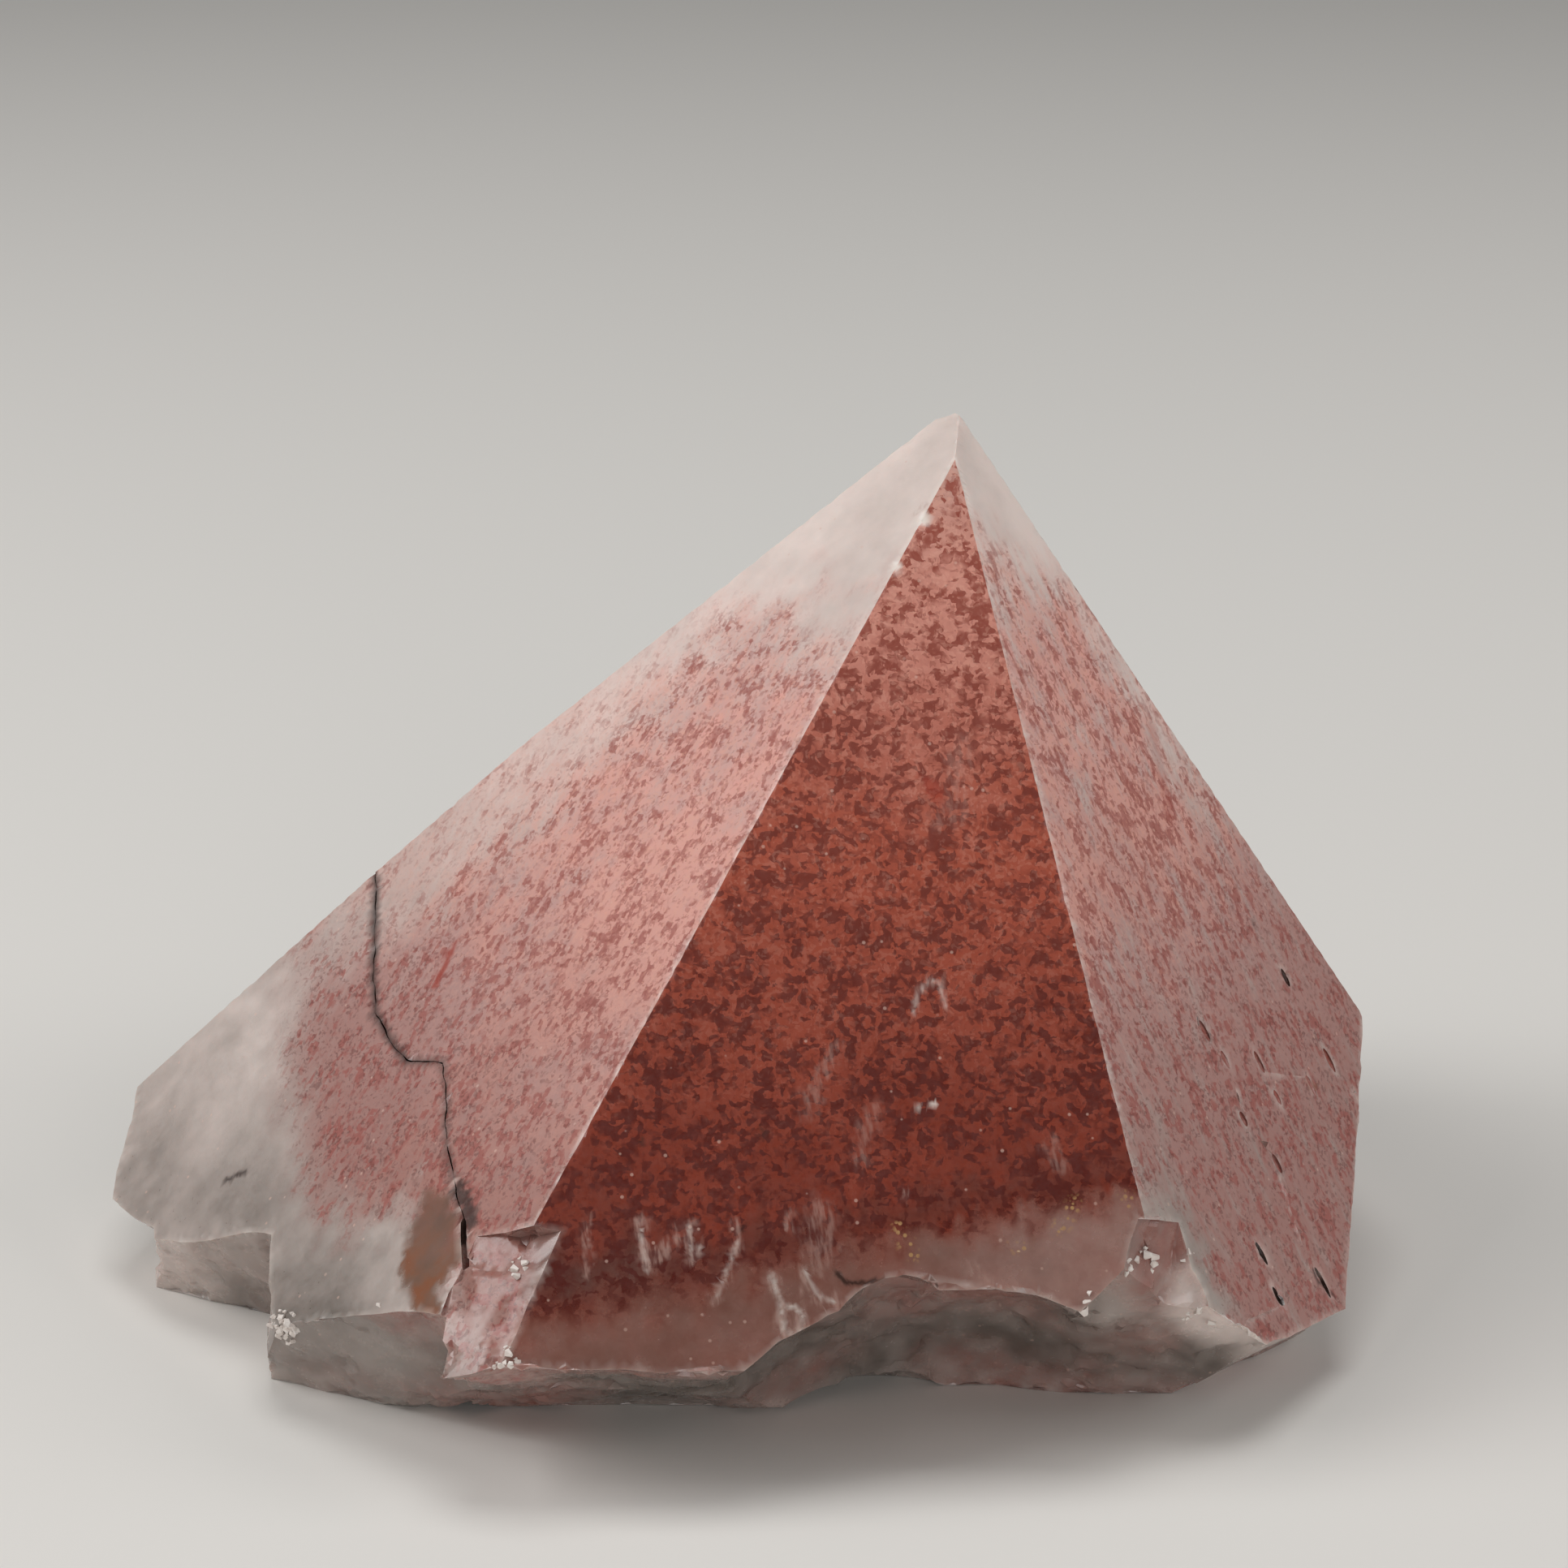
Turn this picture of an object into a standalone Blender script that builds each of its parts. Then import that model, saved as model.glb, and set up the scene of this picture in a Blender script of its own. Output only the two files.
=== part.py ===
"""A quartz crystal tip: the six-faced head of a crystal, broken off its base.

The head is cut from a block along the six rhombohedral planes of quartz, whose slope is fixed by
the mineral. Blocks and scoops then take away what broke off: the steps under the left face, the
undercut foot, the chips along the edges and the hollows underneath. The broken surfaces are
roughened last, and the crystal faces and the rest plane stay flat.

Crystal coordinates are millimetres: X to the right, Y to the back, Z up from the rest plane, with
the point where the front, left and right faces meet above the origin.
"""

from math import cos, radians, sin

import bmesh
import bpy
from mathutils import Matrix, Vector, noise

MM = 0.001

# Driving dimensions, in millimetres and degrees
MEETING_HEIGHT = 49.0  # where the front, left and right faces meet
FACE_SLOPE = 51.79  # a rhombohedral face of quartz, from the plane across the long axis
AXIS_LEAN = 8.46  # the long axis, from upright towards +X
AXIS_TURN = -1.13  # the head, about its long axis
BLOCK_SIZE = 240.0  # stock that the planes are cut from
# the six faces: compass direction about the long axis, and how far beyond the meeting point each lies
HEAD_FACES = {
    "back_left": (-120, 3.21),
    "left": (-60, 0.0),
    "front": (0, 0.0),
    "right": (60, 0.0),
    "back_right": (120, 2.37),
    "back": (180, 3.95),
}

NOISE_SEED = 11
FRACTURE_EDGE = 2.3  # longest edge left in a broken surface
COARSE_ROUGHNESS = (0.42, 4.8)  # how far broken surfaces wander, and over what distance
FINE_ROUGHNESS = (0.13, 1.4)
FLAT_TOLERANCE = 0.004  # a corner this close to a flat plane belongs to it
MERGE_DISTANCE = 0.01  # corners this close are one corner before the roughening
ROUNDS = 8  # most times that an edge is halved

CRACK_WIDTH = 0.34
CRACK_OVERLAP = 1.0  # how far its cutter stands out of the face
CRACK_DEPTH = 1.3
# the crack across the left face, from the back edge down to the foot
CRACK_LINE = [
    (-34.2, 3.8, 22.7), (-34.0, 1.0, 21.4), (-33.8, -3.7, 19.1), (-33.5, -6.5, 17.8), (-32.4, -9.4, 17.2),
    (-31.2, -11.8, 16.9), (-29.0, -14.0, 17.6), (-28.7, -15.9, 16.8), (-28.5, -19.2, 15.2),
    (-27.9, -22.3, 14.1), (-27.2, -25.4, 13.0), (-27.0, -28.6, 11.7),
]

# Planes that end the crystal: a point on each, and the direction that it faces
END_PLANES = {
    "left_end": ((-49.4, 1.6, 9.0), (-0.97, 0.20, -0.10)),
    "right_end": ((24.9, 1.7, 13.7), (0.937, 0.049, -0.348)),
    "back_end": ((0.0, 25.0, 9.0), (0.10, 0.93, -0.34)),
    "back_left_end": ((-36.0, 15.5, 6.0), (-0.60, 0.74, -0.30)),
    "back_right_end": ((17.0, 20.5, 6.0), (0.60, 0.66, -0.42)),
    "tip": ((-0.4, 3.5, 50.75), (-0.25, 0.24, 0.94)),
    "front_undercut": ((-10.0, -21.6, 0.0), (0.0, -0.54, -0.842)),
    "right_undercut": ((22.46, -15.76, 3.43), (0.436, -0.439, -0.785)),
    "rest": ((0.0, 0.0, 0.0), (0.0, 0.0, -1.0)),
}
LOBE_HINGE = ((-34.2, 3.8, 22.7), (-27.9, -22.3, 14.1))  # the left lobe turns down about the crack
LOBE_TURN = 3.0
LOBE_BACK_TURN = 5.0

# Blocks taken away: the planes that bound each, as a point and the direction that the block faces
BLOCKS = {
    # the steep band under the left face, as far as the crack
    "left_band": (
        ((-36.9, -22.9, 6.2), (0.42, 0.77, 0.48)),
        ((-26.9, -28.0, 8.0), (0.93, -0.30, 0.10)),
    ),
    # the underside of the left end
    "left_tip": (
        ((-49.2, -5.8, 5.2), (0.47, 0.37, 0.80)),
        ((-46.5, -9.4, 4.0), (0.995, 0.10, 0.0)),
    ),
    # the smooth facet at the lower left and the step beside it
    "left_step": (
        ((-39.1, -15.8, 8.3), (0.416, 0.742, 0.525)),
        ((-39.2, -14.0, 5.0), (0.99, 0.13, -0.03)),
    ),
    # a slab broken off beside the lower end of the edge between the left and front faces
    "edge_slab": (
        ((-27.0, -27.2, 12.3), (0.447, 0.548, -0.707)),
        ((-26.8, -26.9, 12.5), (0.174, 0.721, 0.670)),
        ((-26.9, -27.0, 11.0), (-0.93, 0.36, 0.0)),
    ),
    # a slab broken off the lower end of the edge between the front and right faces
    "corner_slab": (
        ((8.5, -28.5, 11.5), (-0.726, 0.632, -0.27)),
        ((9.2, -26.8, 13.6), (0.065, 0.454, 0.890)),
        ((11.6, -24.6, 12.3), (0.064, 0.821, -0.567)),
    ),
    # the facet under it
    "right_foot": (
        ((8.5, -28.5, 11.5), (0.065, 0.80, 0.594)),
        ((8.5, -28.5, 11.5), (-0.677, 0.305, 0.668)),
    ),
}

# Hollows taken away by round cutters: centre, half sizes and turn about Z
SCOOPS = {
    "front_shell": ((-0.5, -36.4, -4.0), (17.0, 18.0, 16.0), 0),
    "front_shell_left": ((-3.6, -37.5, -3.0), (6.5, 18.0, 16.2), 0),
    "front_arch": ((-4.5, -24.5, -2.0), (8.0, 8.5, 3.4), 0),
    "right_corner": ((11.9, -27.6, 9.6), (1.9, 1.7, 2.2), 25),
    "right_notch": ((25.6, -3.6, 11.6), (2.0, 1.2, 1.0), 0),
    "foot_notch": ((-27.2, -20.6, 0.2), (1.2, 2.4, 1.3), 0),
    "band_chip": ((-31.9, -28.4, 9.6), (1.9, 1.9, 1.5), 30),
    "back_shell": ((-8.0, 38.0, 5.0), (21.0, 17.0, 13.0), 12),
    "back_middle_shell": ((8.0, 33.0, -2.0), (12.0, 13.0, 12.0), -15),
    "back_right_shell": ((29.0, 19.0, 1.0), (13.0, 16.0, 12.0), -20),
    "back_left_shell": ((-46.0, 20.0, 0.0), (15.0, 11.0, 10.0), 30),
    "left_shell": ((-58.0, 4.0, -3.0), (12.0, 14.0, 9.5), 0),
}

# Hollows under the crystal: the base is a broken surface that touches down in flat islands
BASE_SIZE = 110.0  # a square that covers the base
BASE_STEPS = 64  # squares along each side of it
BASE_RELIEF = (5.2, 17.0)  # how high the hollows reach, and over what distance
BASE_DETAIL = (0.35, 2.6)  # smaller waves on top: their share of that height, and how much closer they are
BASE_SINK = 0.9  # how far the base surface lies under the rest plane on average
BASE_FADE = (-16.0, -11.0, 4.0)  # towards the front, between these depths, it sinks by this much more
BASE_DEPTH = 20.0
BASE_MIDDLE = -12.0

# Growth pits in the right face: where each lies and how long it is
PIT_DIRECTION = (0.45, -0.24, -0.86)
PIT_WIDTH = 0.42
PIT_DEPTH = 0.34
PITS = [
    ((14.0, -12.1, 18.7), 1.3),
    ((15.3, -12.1, 17.0), 1.2),
    ((17.5, -9.4, 15.8), 1.4),
    ((18.5, -9.9, 13.8), 1.0),
    ((20.9, -6.4, 13.1), 1.5),
    ((22.3, -3.3, 13.5), 1.6),
    ((16.2, -13.9, 14.1), 0.9),
    ((18.2, -13.7, 11.3), 1.1),
    ((19.7, -2.2, 18.3), 1.2),
    ((16.8, -19.9, 8.5), 1.5),
    ((17.6, -21.0, 6.4), 1.2),
    ((20.7, -16.7, 5.3), 2.0),
]


def clear_scene():
    for obj in list(bpy.data.objects):
        bpy.data.objects.remove(obj)


def new_collection(name):
    collection = bpy.data.collections.new(name)
    bpy.context.scene.collection.children.link(collection)
    return collection


def head_planes():
    """The six faces of the head, each as (point, outward direction)."""
    turn = Matrix.Rotation(radians(AXIS_LEAN), 3, "Y") @ Matrix.Rotation(radians(AXIS_TURN), 3, "Z")
    slope = radians(FACE_SLOPE)
    meeting_point = Vector((0.0, 0.0, MEETING_HEIGHT))
    planes = {}
    for name, (azimuth, offset) in HEAD_FACES.items():
        angle = radians(azimuth)
        upright = Vector((sin(slope) * sin(angle), -sin(slope) * cos(angle), cos(slope)))
        normal = turn @ upright
        planes[name] = (meeting_point + normal * offset, normal)
    return planes


def lobe_planes(head):
    """The left lobe's two faces, which grew slightly turned against the head beyond the crack."""
    top, bottom = (Vector(point) for point in LOBE_HINGE)
    hinge = (bottom - top).normalized()
    front = Matrix.Rotation(radians(LOBE_TURN), 3, hinge) @ head["left"][1]
    back = Matrix.Rotation(radians(LOBE_BACK_TURN), 3, hinge) @ head["back_left"][1]
    return {"lobe_left": (top, front), "lobe_back_left": (top, back)}


def cut_block(name, planes):
    """A mesh of what is left of a large cube behind every one of these planes."""
    shape = bmesh.new()
    bmesh.ops.create_cube(shape, size=BLOCK_SIZE)
    for point, normal in planes:
        everything = shape.verts[:] + shape.edges[:] + shape.faces[:]
        cut = bmesh.ops.bisect_plane(
            shape, geom=everything, plane_co=point, plane_no=normal, clear_outer=True
        )
        rim = [item for item in cut["geom_cut"] if isinstance(item, bmesh.types.BMEdge)]
        if rim:
            bmesh.ops.contextual_create(shape, geom=rim)
    bmesh.ops.recalc_face_normals(shape, faces=shape.faces[:])
    mesh = bpy.data.meshes.new(name)
    shape.to_mesh(mesh)
    shape.free()
    return mesh


def make_cutter(name, mesh, collection):
    cutter = bpy.data.objects.new(name, mesh)
    collection.objects.link(cutter)
    cutter.hide_render = True
    cutter.display_type = "WIRE"
    return cutter


def scoop_mesh(name, centre, half_sizes, turn):
    """A round cutter, whose surface leaves a shell-shaped hollow."""
    shape = bmesh.new()
    bmesh.ops.create_icosphere(shape, subdivisions=4 if max(half_sizes) > 6.0 else 3, radius=1.0)
    place = (
        Matrix.Translation(centre)
        @ Matrix.Rotation(radians(turn), 4, "Z")
        @ Matrix.Diagonal((*half_sizes, 1.0))
    )
    bmesh.ops.transform(shape, matrix=place, verts=shape.verts[:])
    mesh = bpy.data.meshes.new(name)
    shape.to_mesh(mesh)
    shape.free()
    return mesh


def pit_mesh(name, centre, length):
    """A narrow hollow that runs down the right face."""
    shape = bmesh.new()
    bmesh.ops.create_icosphere(shape, subdivisions=2, radius=0.5)
    upright = Vector(PIT_DIRECTION).to_track_quat("Z", "Y").to_matrix().to_4x4()
    stretch = Matrix.Diagonal((PIT_WIDTH, 2.0 * PIT_DEPTH, length, 1.0))
    bmesh.ops.transform(shape, matrix=Matrix.Translation(centre) @ upright @ stretch, verts=shape.verts[:])
    mesh = bpy.data.meshes.new(name)
    shape.to_mesh(mesh)
    shape.free()
    return mesh


def base_mesh():
    """A slab whose wavy top reaches above the rest plane where the base is hollow."""
    height, distance = BASE_RELIEF
    share, closer = BASE_DETAIL
    far, near, sink = BASE_FADE
    shape = bmesh.new()
    bmesh.ops.create_grid(shape, x_segments=BASE_STEPS, y_segments=BASE_STEPS, size=BASE_SIZE / 2)
    top = shape.faces[:]
    bottom = bmesh.ops.extrude_face_region(shape, geom=top)["geom"]
    lower = {item for item in bottom if isinstance(item, bmesh.types.BMVert)}
    for vertex in shape.verts:
        if vertex in lower:
            vertex.co.z = -BASE_DEPTH
            continue
        fade = min(max((vertex.co.y - far) / (near - far), 0.0), 1.0)
        wave = noise.noise(vertex.co / distance) + share * noise.noise(vertex.co * closer / distance)
        vertex.co.z = height * wave * fade - BASE_SINK - sink * (1.0 - fade)
    bmesh.ops.recalc_face_normals(shape, faces=shape.faces[:])
    bmesh.ops.translate(shape, verts=shape.verts[:], vec=(BASE_MIDDLE, 0.0, 0.0))
    mesh = bpy.data.meshes.new("base")
    shape.to_mesh(mesh)
    shape.free()
    return mesh


def crack_mesh(normal):
    """A strip along the crack, standing across the left face."""
    line = [Vector(point) for point in CRACK_LINE]
    sides = []
    for index in range(len(line)):
        ahead = line[min(index + 1, len(line) - 1)]
        behind = line[max(index - 1, 0)]
        sides.append((ahead - behind).cross(normal).normalized() * CRACK_WIDTH / 2)
    lift = normal * CRACK_OVERLAP
    top = [point + side + lift for point, side in zip(line, sides)]
    top += [point - side + lift for point, side in zip(reversed(line), reversed(sides))]
    shape = bmesh.new()
    outline = shape.faces.new([shape.verts.new(point) for point in top])
    deep = bmesh.ops.extrude_face_region(shape, geom=[outline])["geom"]
    corners = [item for item in deep if isinstance(item, bmesh.types.BMVert)]
    bmesh.ops.translate(shape, verts=corners, vec=normal * -(CRACK_DEPTH + CRACK_OVERLAP))
    bmesh.ops.recalc_face_normals(shape, faces=shape.faces[:])
    mesh = bpy.data.meshes.new("crack")
    shape.to_mesh(mesh)
    shape.free()
    return mesh


def subtract(obj, cutter):
    cut = obj.modifiers.new(cutter.name, "BOOLEAN")
    cut.operation = "DIFFERENCE"
    cut.solver = "EXACT"
    cut.object = cutter


def baked_mesh(obj):
    """The object's mesh with its modifiers applied."""
    graph = bpy.context.evaluated_depsgraph_get()
    mesh = bpy.data.meshes.new_from_object(obj.evaluated_get(graph))
    obj.modifiers.clear()
    return mesh


def lies_in(vertices, plane):
    point, normal = plane
    return all(abs((vertex.co - point).dot(normal)) < FLAT_TOLERANCE for vertex in vertices)


def is_flat(face, planes):
    return any(lies_in(face.verts, plane) for plane in planes)


def planes_at(vertex, planes):
    """Directions of the flat planes that this corner has a face on."""
    near = [plane for plane in planes if lies_in([vertex], plane)]
    return [plane[1] for plane in near if any(lies_in(face.verts, plane) for face in vertex.link_faces)]


def kept_in_planes(shift, normals):
    """The part of a shift that leaves a corner in all of its flat planes."""
    if not normals:
        return shift
    if len(normals) == 1:
        return shift - normals[0] * shift.dot(normals[0])
    if len(normals) == 2:
        along = normals[0].cross(normals[1]).normalized()
        return along * shift.dot(along)
    return Vector((0.0, 0.0, 0.0))


def roughen_fractures(mesh, planes):
    """Breaks up the broken surfaces into small facets and moves their corners.

    A corner on a crystal face or on the rest plane moves only within it, so the face stays flat
    and its broken rim turns ragged.
    """
    shape = bmesh.new()
    shape.from_mesh(mesh)
    bmesh.ops.remove_doubles(shape, verts=shape.verts[:], dist=MERGE_DISTANCE)
    shape.normal_update()
    broken = [face for face in shape.faces if not is_flat(face, planes)]
    bmesh.ops.triangulate(shape, faces=broken, quad_method="BEAUTY", ngon_method="BEAUTY")
    for _ in range(ROUNDS):
        long_edges = [
            edge
            for edge in shape.edges
            if edge.calc_length() > FRACTURE_EDGE
            and any(not is_flat(face, planes) for face in edge.link_faces)
        ]
        if not long_edges:
            break
        bmesh.ops.subdivide_edges(shape, edges=long_edges, cuts=1)
        shape.normal_update()
        broken = [face for face in shape.faces if len(face.verts) > 3 and not is_flat(face, planes)]
        bmesh.ops.triangulate(shape, faces=broken, quad_method="BEAUTY", ngon_method="BEAUTY")
    shape.normal_update()
    moves = []
    for vertex in shape.verts:
        shift = Vector((0.0, 0.0, 0.0))
        for height, distance in (COARSE_ROUGHNESS, FINE_ROUGHNESS):
            shift += noise.noise_vector(vertex.co / distance) * height
        moves.append(kept_in_planes(shift, planes_at(vertex, planes)))
    for vertex, shift in zip(shape.verts, moves):
        vertex.co += shift
        vertex.co.z = max(vertex.co.z, 0.0)
    shape.to_mesh(mesh)
    shape.free()


def rest_on_origin(crystal, cutters):
    """Scales everything to metres, with the origin under the middle of the crystal."""
    corners = [vertex.co for vertex in crystal.data.vertices]
    middle_x = (min(c.x for c in corners) + max(c.x for c in corners)) / 2
    middle_y = (min(c.y for c in corners) + max(c.y for c in corners)) / 2
    print(f"origin under crystal coordinates {middle_x:.4f}, {middle_y:.4f}")
    place = Matrix.Scale(MM, 4) @ Matrix.Translation((-middle_x, -middle_y, 0.0))
    for obj in [crystal, *cutters.objects]:
        obj.data.transform(place)


def quartz_material():
    material = bpy.data.materials.new("hematite_quartz")
    material.use_nodes = True
    shader = material.node_tree.nodes["Principled BSDF"]
    shader.inputs["Base Color"].default_value = (0.42, 0.17, 0.13, 1.0)
    shader.inputs["Roughness"].default_value = 0.35
    shader.inputs["Metallic"].default_value = 0.0
    return material


def build():
    clear_scene()
    noise.seed_set(NOISE_SEED)
    crystal_parts = new_collection("quartz_crystal")
    cutters = new_collection("cutters")

    head = head_planes()
    lobe = lobe_planes(head)
    ends = {
        name: (Vector(point), Vector(normal).normalized())
        for name, (point, normal) in END_PLANES.items()
    }
    mesh = cut_block("quartz_crystal", [*head.values(), *lobe.values(), *ends.values()])
    crystal = bpy.data.objects.new("quartz_crystal", mesh)
    crystal_parts.objects.link(crystal)

    for name, planes in BLOCKS.items():
        subtract(crystal, make_cutter(name, cut_block(name, planes), cutters))
    for name, (centre, half_sizes, turn) in SCOOPS.items():
        subtract(crystal, make_cutter(name, scoop_mesh(name, centre, half_sizes, turn), cutters))
    subtract(crystal, make_cutter("base", base_mesh(), cutters))
    crystal.data = baked_mesh(crystal)

    flat_planes = [*head.values(), *lobe.values(), ends["rest"]]
    roughen_fractures(crystal.data, flat_planes)
    for index, (centre, length) in enumerate(PITS):
        name = f"pit_{index + 1}"
        subtract(crystal, make_cutter(name, pit_mesh(name, centre, length), cutters))
    subtract(crystal, make_cutter("crack", crack_mesh(head["left"][1]), cutters))
    crystal.data = baked_mesh(crystal)
    rest_on_origin(crystal, cutters)
    crystal.data.materials.clear()
    crystal.data.materials.append(quartz_material())
    return crystal


build()
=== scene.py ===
# A quartz point coloured by hematite flakes: one six-sided termination, broken off at its foot.
import math

import bmesh
import bpy
import numpy as np
from mathutils import Matrix, Vector, noise


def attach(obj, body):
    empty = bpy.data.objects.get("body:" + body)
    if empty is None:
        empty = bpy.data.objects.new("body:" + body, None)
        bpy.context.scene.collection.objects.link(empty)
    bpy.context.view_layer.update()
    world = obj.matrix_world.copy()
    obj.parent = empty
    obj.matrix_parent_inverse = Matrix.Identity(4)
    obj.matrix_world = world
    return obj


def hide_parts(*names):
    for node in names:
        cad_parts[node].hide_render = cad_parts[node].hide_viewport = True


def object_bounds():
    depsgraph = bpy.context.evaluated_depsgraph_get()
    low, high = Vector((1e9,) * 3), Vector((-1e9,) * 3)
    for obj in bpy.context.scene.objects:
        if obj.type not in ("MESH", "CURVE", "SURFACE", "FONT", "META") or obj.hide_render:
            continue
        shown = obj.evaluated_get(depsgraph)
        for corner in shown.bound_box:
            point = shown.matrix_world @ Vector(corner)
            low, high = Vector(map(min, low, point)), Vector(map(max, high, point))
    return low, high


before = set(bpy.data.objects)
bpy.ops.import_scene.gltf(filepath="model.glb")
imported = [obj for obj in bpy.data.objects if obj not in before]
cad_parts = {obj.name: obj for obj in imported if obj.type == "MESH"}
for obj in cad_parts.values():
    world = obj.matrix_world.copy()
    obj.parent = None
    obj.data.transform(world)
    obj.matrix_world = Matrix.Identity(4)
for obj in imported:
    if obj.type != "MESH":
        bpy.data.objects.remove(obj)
cadBox = [list(corner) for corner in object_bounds()]
mm = 0.001
noise.seed_set(7)  # same noise at each run
print("frame loaded, CAD box", cadBox)

# camera, first of all: about 25 cm in front, looking down on the point
cameraSettings = {
    "location": (0.002629, -0.245809, 0.10901),
    "downwards": 17.8086,  # degrees under the horizon
    "lens": 102.22,
    "sensor": 36.0,
    "nearest": 0.01,
}
cameraData = bpy.data.cameras.new("tableCamera")
cameraData.lens = cameraSettings["lens"]
cameraData.sensor_width = cameraSettings["sensor"]
cameraData.clip_start = cameraSettings["nearest"]
camera = bpy.data.objects.new("tableCamera", cameraData)
camera.location = cameraSettings["location"]
camera.rotation_euler = (math.radians(90 - cameraSettings["downwards"]), 0, 0)
bpy.context.scene.collection.objects.link(camera)
bpy.context.scene.camera = camera
print("camera set")


def linearColour(hexCode):
    # sRGB hex to the linear values Blender's sockets take
    channels = [int(hexCode[i:i + 2], 16) / 255 for i in (1, 3, 5)]
    linear = [c / 12.92 if c <= 0.04045 else ((c + 0.055) / 1.055) ** 2.4 for c in channels]
    return (*linear, 1.0)


def addNode(tree, kind, settings=None, inputs=None, output=0):
    # one node: settings are its properties, an input given as a socket is linked, else it's a value;
    # gives back the output asked for, or the node itself where it has none
    node = tree.nodes.new(kind)
    for name, value in (settings or {}).items():
        setattr(node, name, value)
    for key, value in (inputs or {}).items():
        if isinstance(value, bpy.types.NodeSocket):
            tree.links.new(value, node.inputs[key])
        else:
            node.inputs[key].default_value = value
    return node.outputs[output] if len(node.outputs) and output is not None else node


def smoothBetween(values, low, high):
    # 0 below low, 1 above high, eased between them
    part = np.clip((values - low) / (high - low), 0, 1)
    return part * part * (3 - 2 * part)


def noiseAt(points, size, seed, stretch=(1, 1, 1)):
    # smooth noise from about -1 to 1 at each point; size and points in the same unit
    shift = Vector((seed * 17.3, seed * 5.1, seed * 9.7))
    scale = Vector([1 / (size * s) for s in stretch])
    return np.array([noise.noise(Vector(p) * scale + shift) for p in points.tolist()])


# the crystal's own faces, in millimetres from the point where three of them meet
crystalForm = {
    "meetingPoint": (12.399, 1.7014, 49.0),
    "faces": {
        "front": (0.0756, -0.7856, 0.6142),
        "left": (-0.5897, -0.3793, 0.7130),
        "right": (0.7562, -0.4063, 0.5130),
        "leftLobe": (-0.6290, -0.3780, 0.6790),  # the left end, tilted a little by a healed break
        "backLeft": (-0.5743, 0.4063, 0.7108),
        "backLeftLobe": (-0.6190, 0.4090, 0.6700),
        "backRight": (0.7716, 0.3793, 0.5107),
        "back": (0.1064, 0.7856, 0.6096),
        "under": (0.0, 0.0, -1.0),
    },
    "sameFace": 0.6,  # degrees a mesh face may be off a crystal face and still belong to it
    "flat": 0.03,  # degrees between triangles of one plane
}
meeting = np.array(crystalForm["meetingPoint"])
faceNames = ["broken", *crystalForm["faces"]]
faceIndex = {name: i for i, name in enumerate(faceNames)}


def faceAxes(name):
    # outward normal, level direction and down-slope direction of a crystal face
    normal = Vector(crystalForm["faces"][name]).normalized()
    across = Vector((0, 0, 1)).cross(normal).normalized()
    down = normal.cross(across).normalized()
    return normal, across, (down if down.z < 0 else -down)


def faceCoordinates(name, points):
    # level and down-slope distances from the meeting point, and depth under the face, all in mm
    normal, across, down = faceAxes(name)
    local = points - meeting
    return local @ np.array(across), local @ np.array(down), -(local @ np.array(normal))


def lineDistance(u, v, line):
    # distance from each (u, v) to a polyline
    best = np.full(len(u), 1e9)
    for (ax, ay), (bx, by) in zip(line, line[1:]):
        dx, dy = bx - ax, by - ay
        part = np.clip(((u - ax) * dx + (v - ay) * dy) / (dx * dx + dy * dy + 1e-12), 0, 1)
        best = np.minimum(best, np.hypot(u - ax - part * dx, v - ay - part * dy))
    return best


def insideOutline(u, v, outline):
    inside = np.zeros(len(u), bool)
    for (ax, ay), (bx, by) in zip(outline, outline[1:] + outline[:1]):
        if ay != by:
            inside ^= ((ay > v) != (by > v)) & (u < (bx - ax) * (v - ay) / (by - ay) + ax)
    return inside


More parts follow.
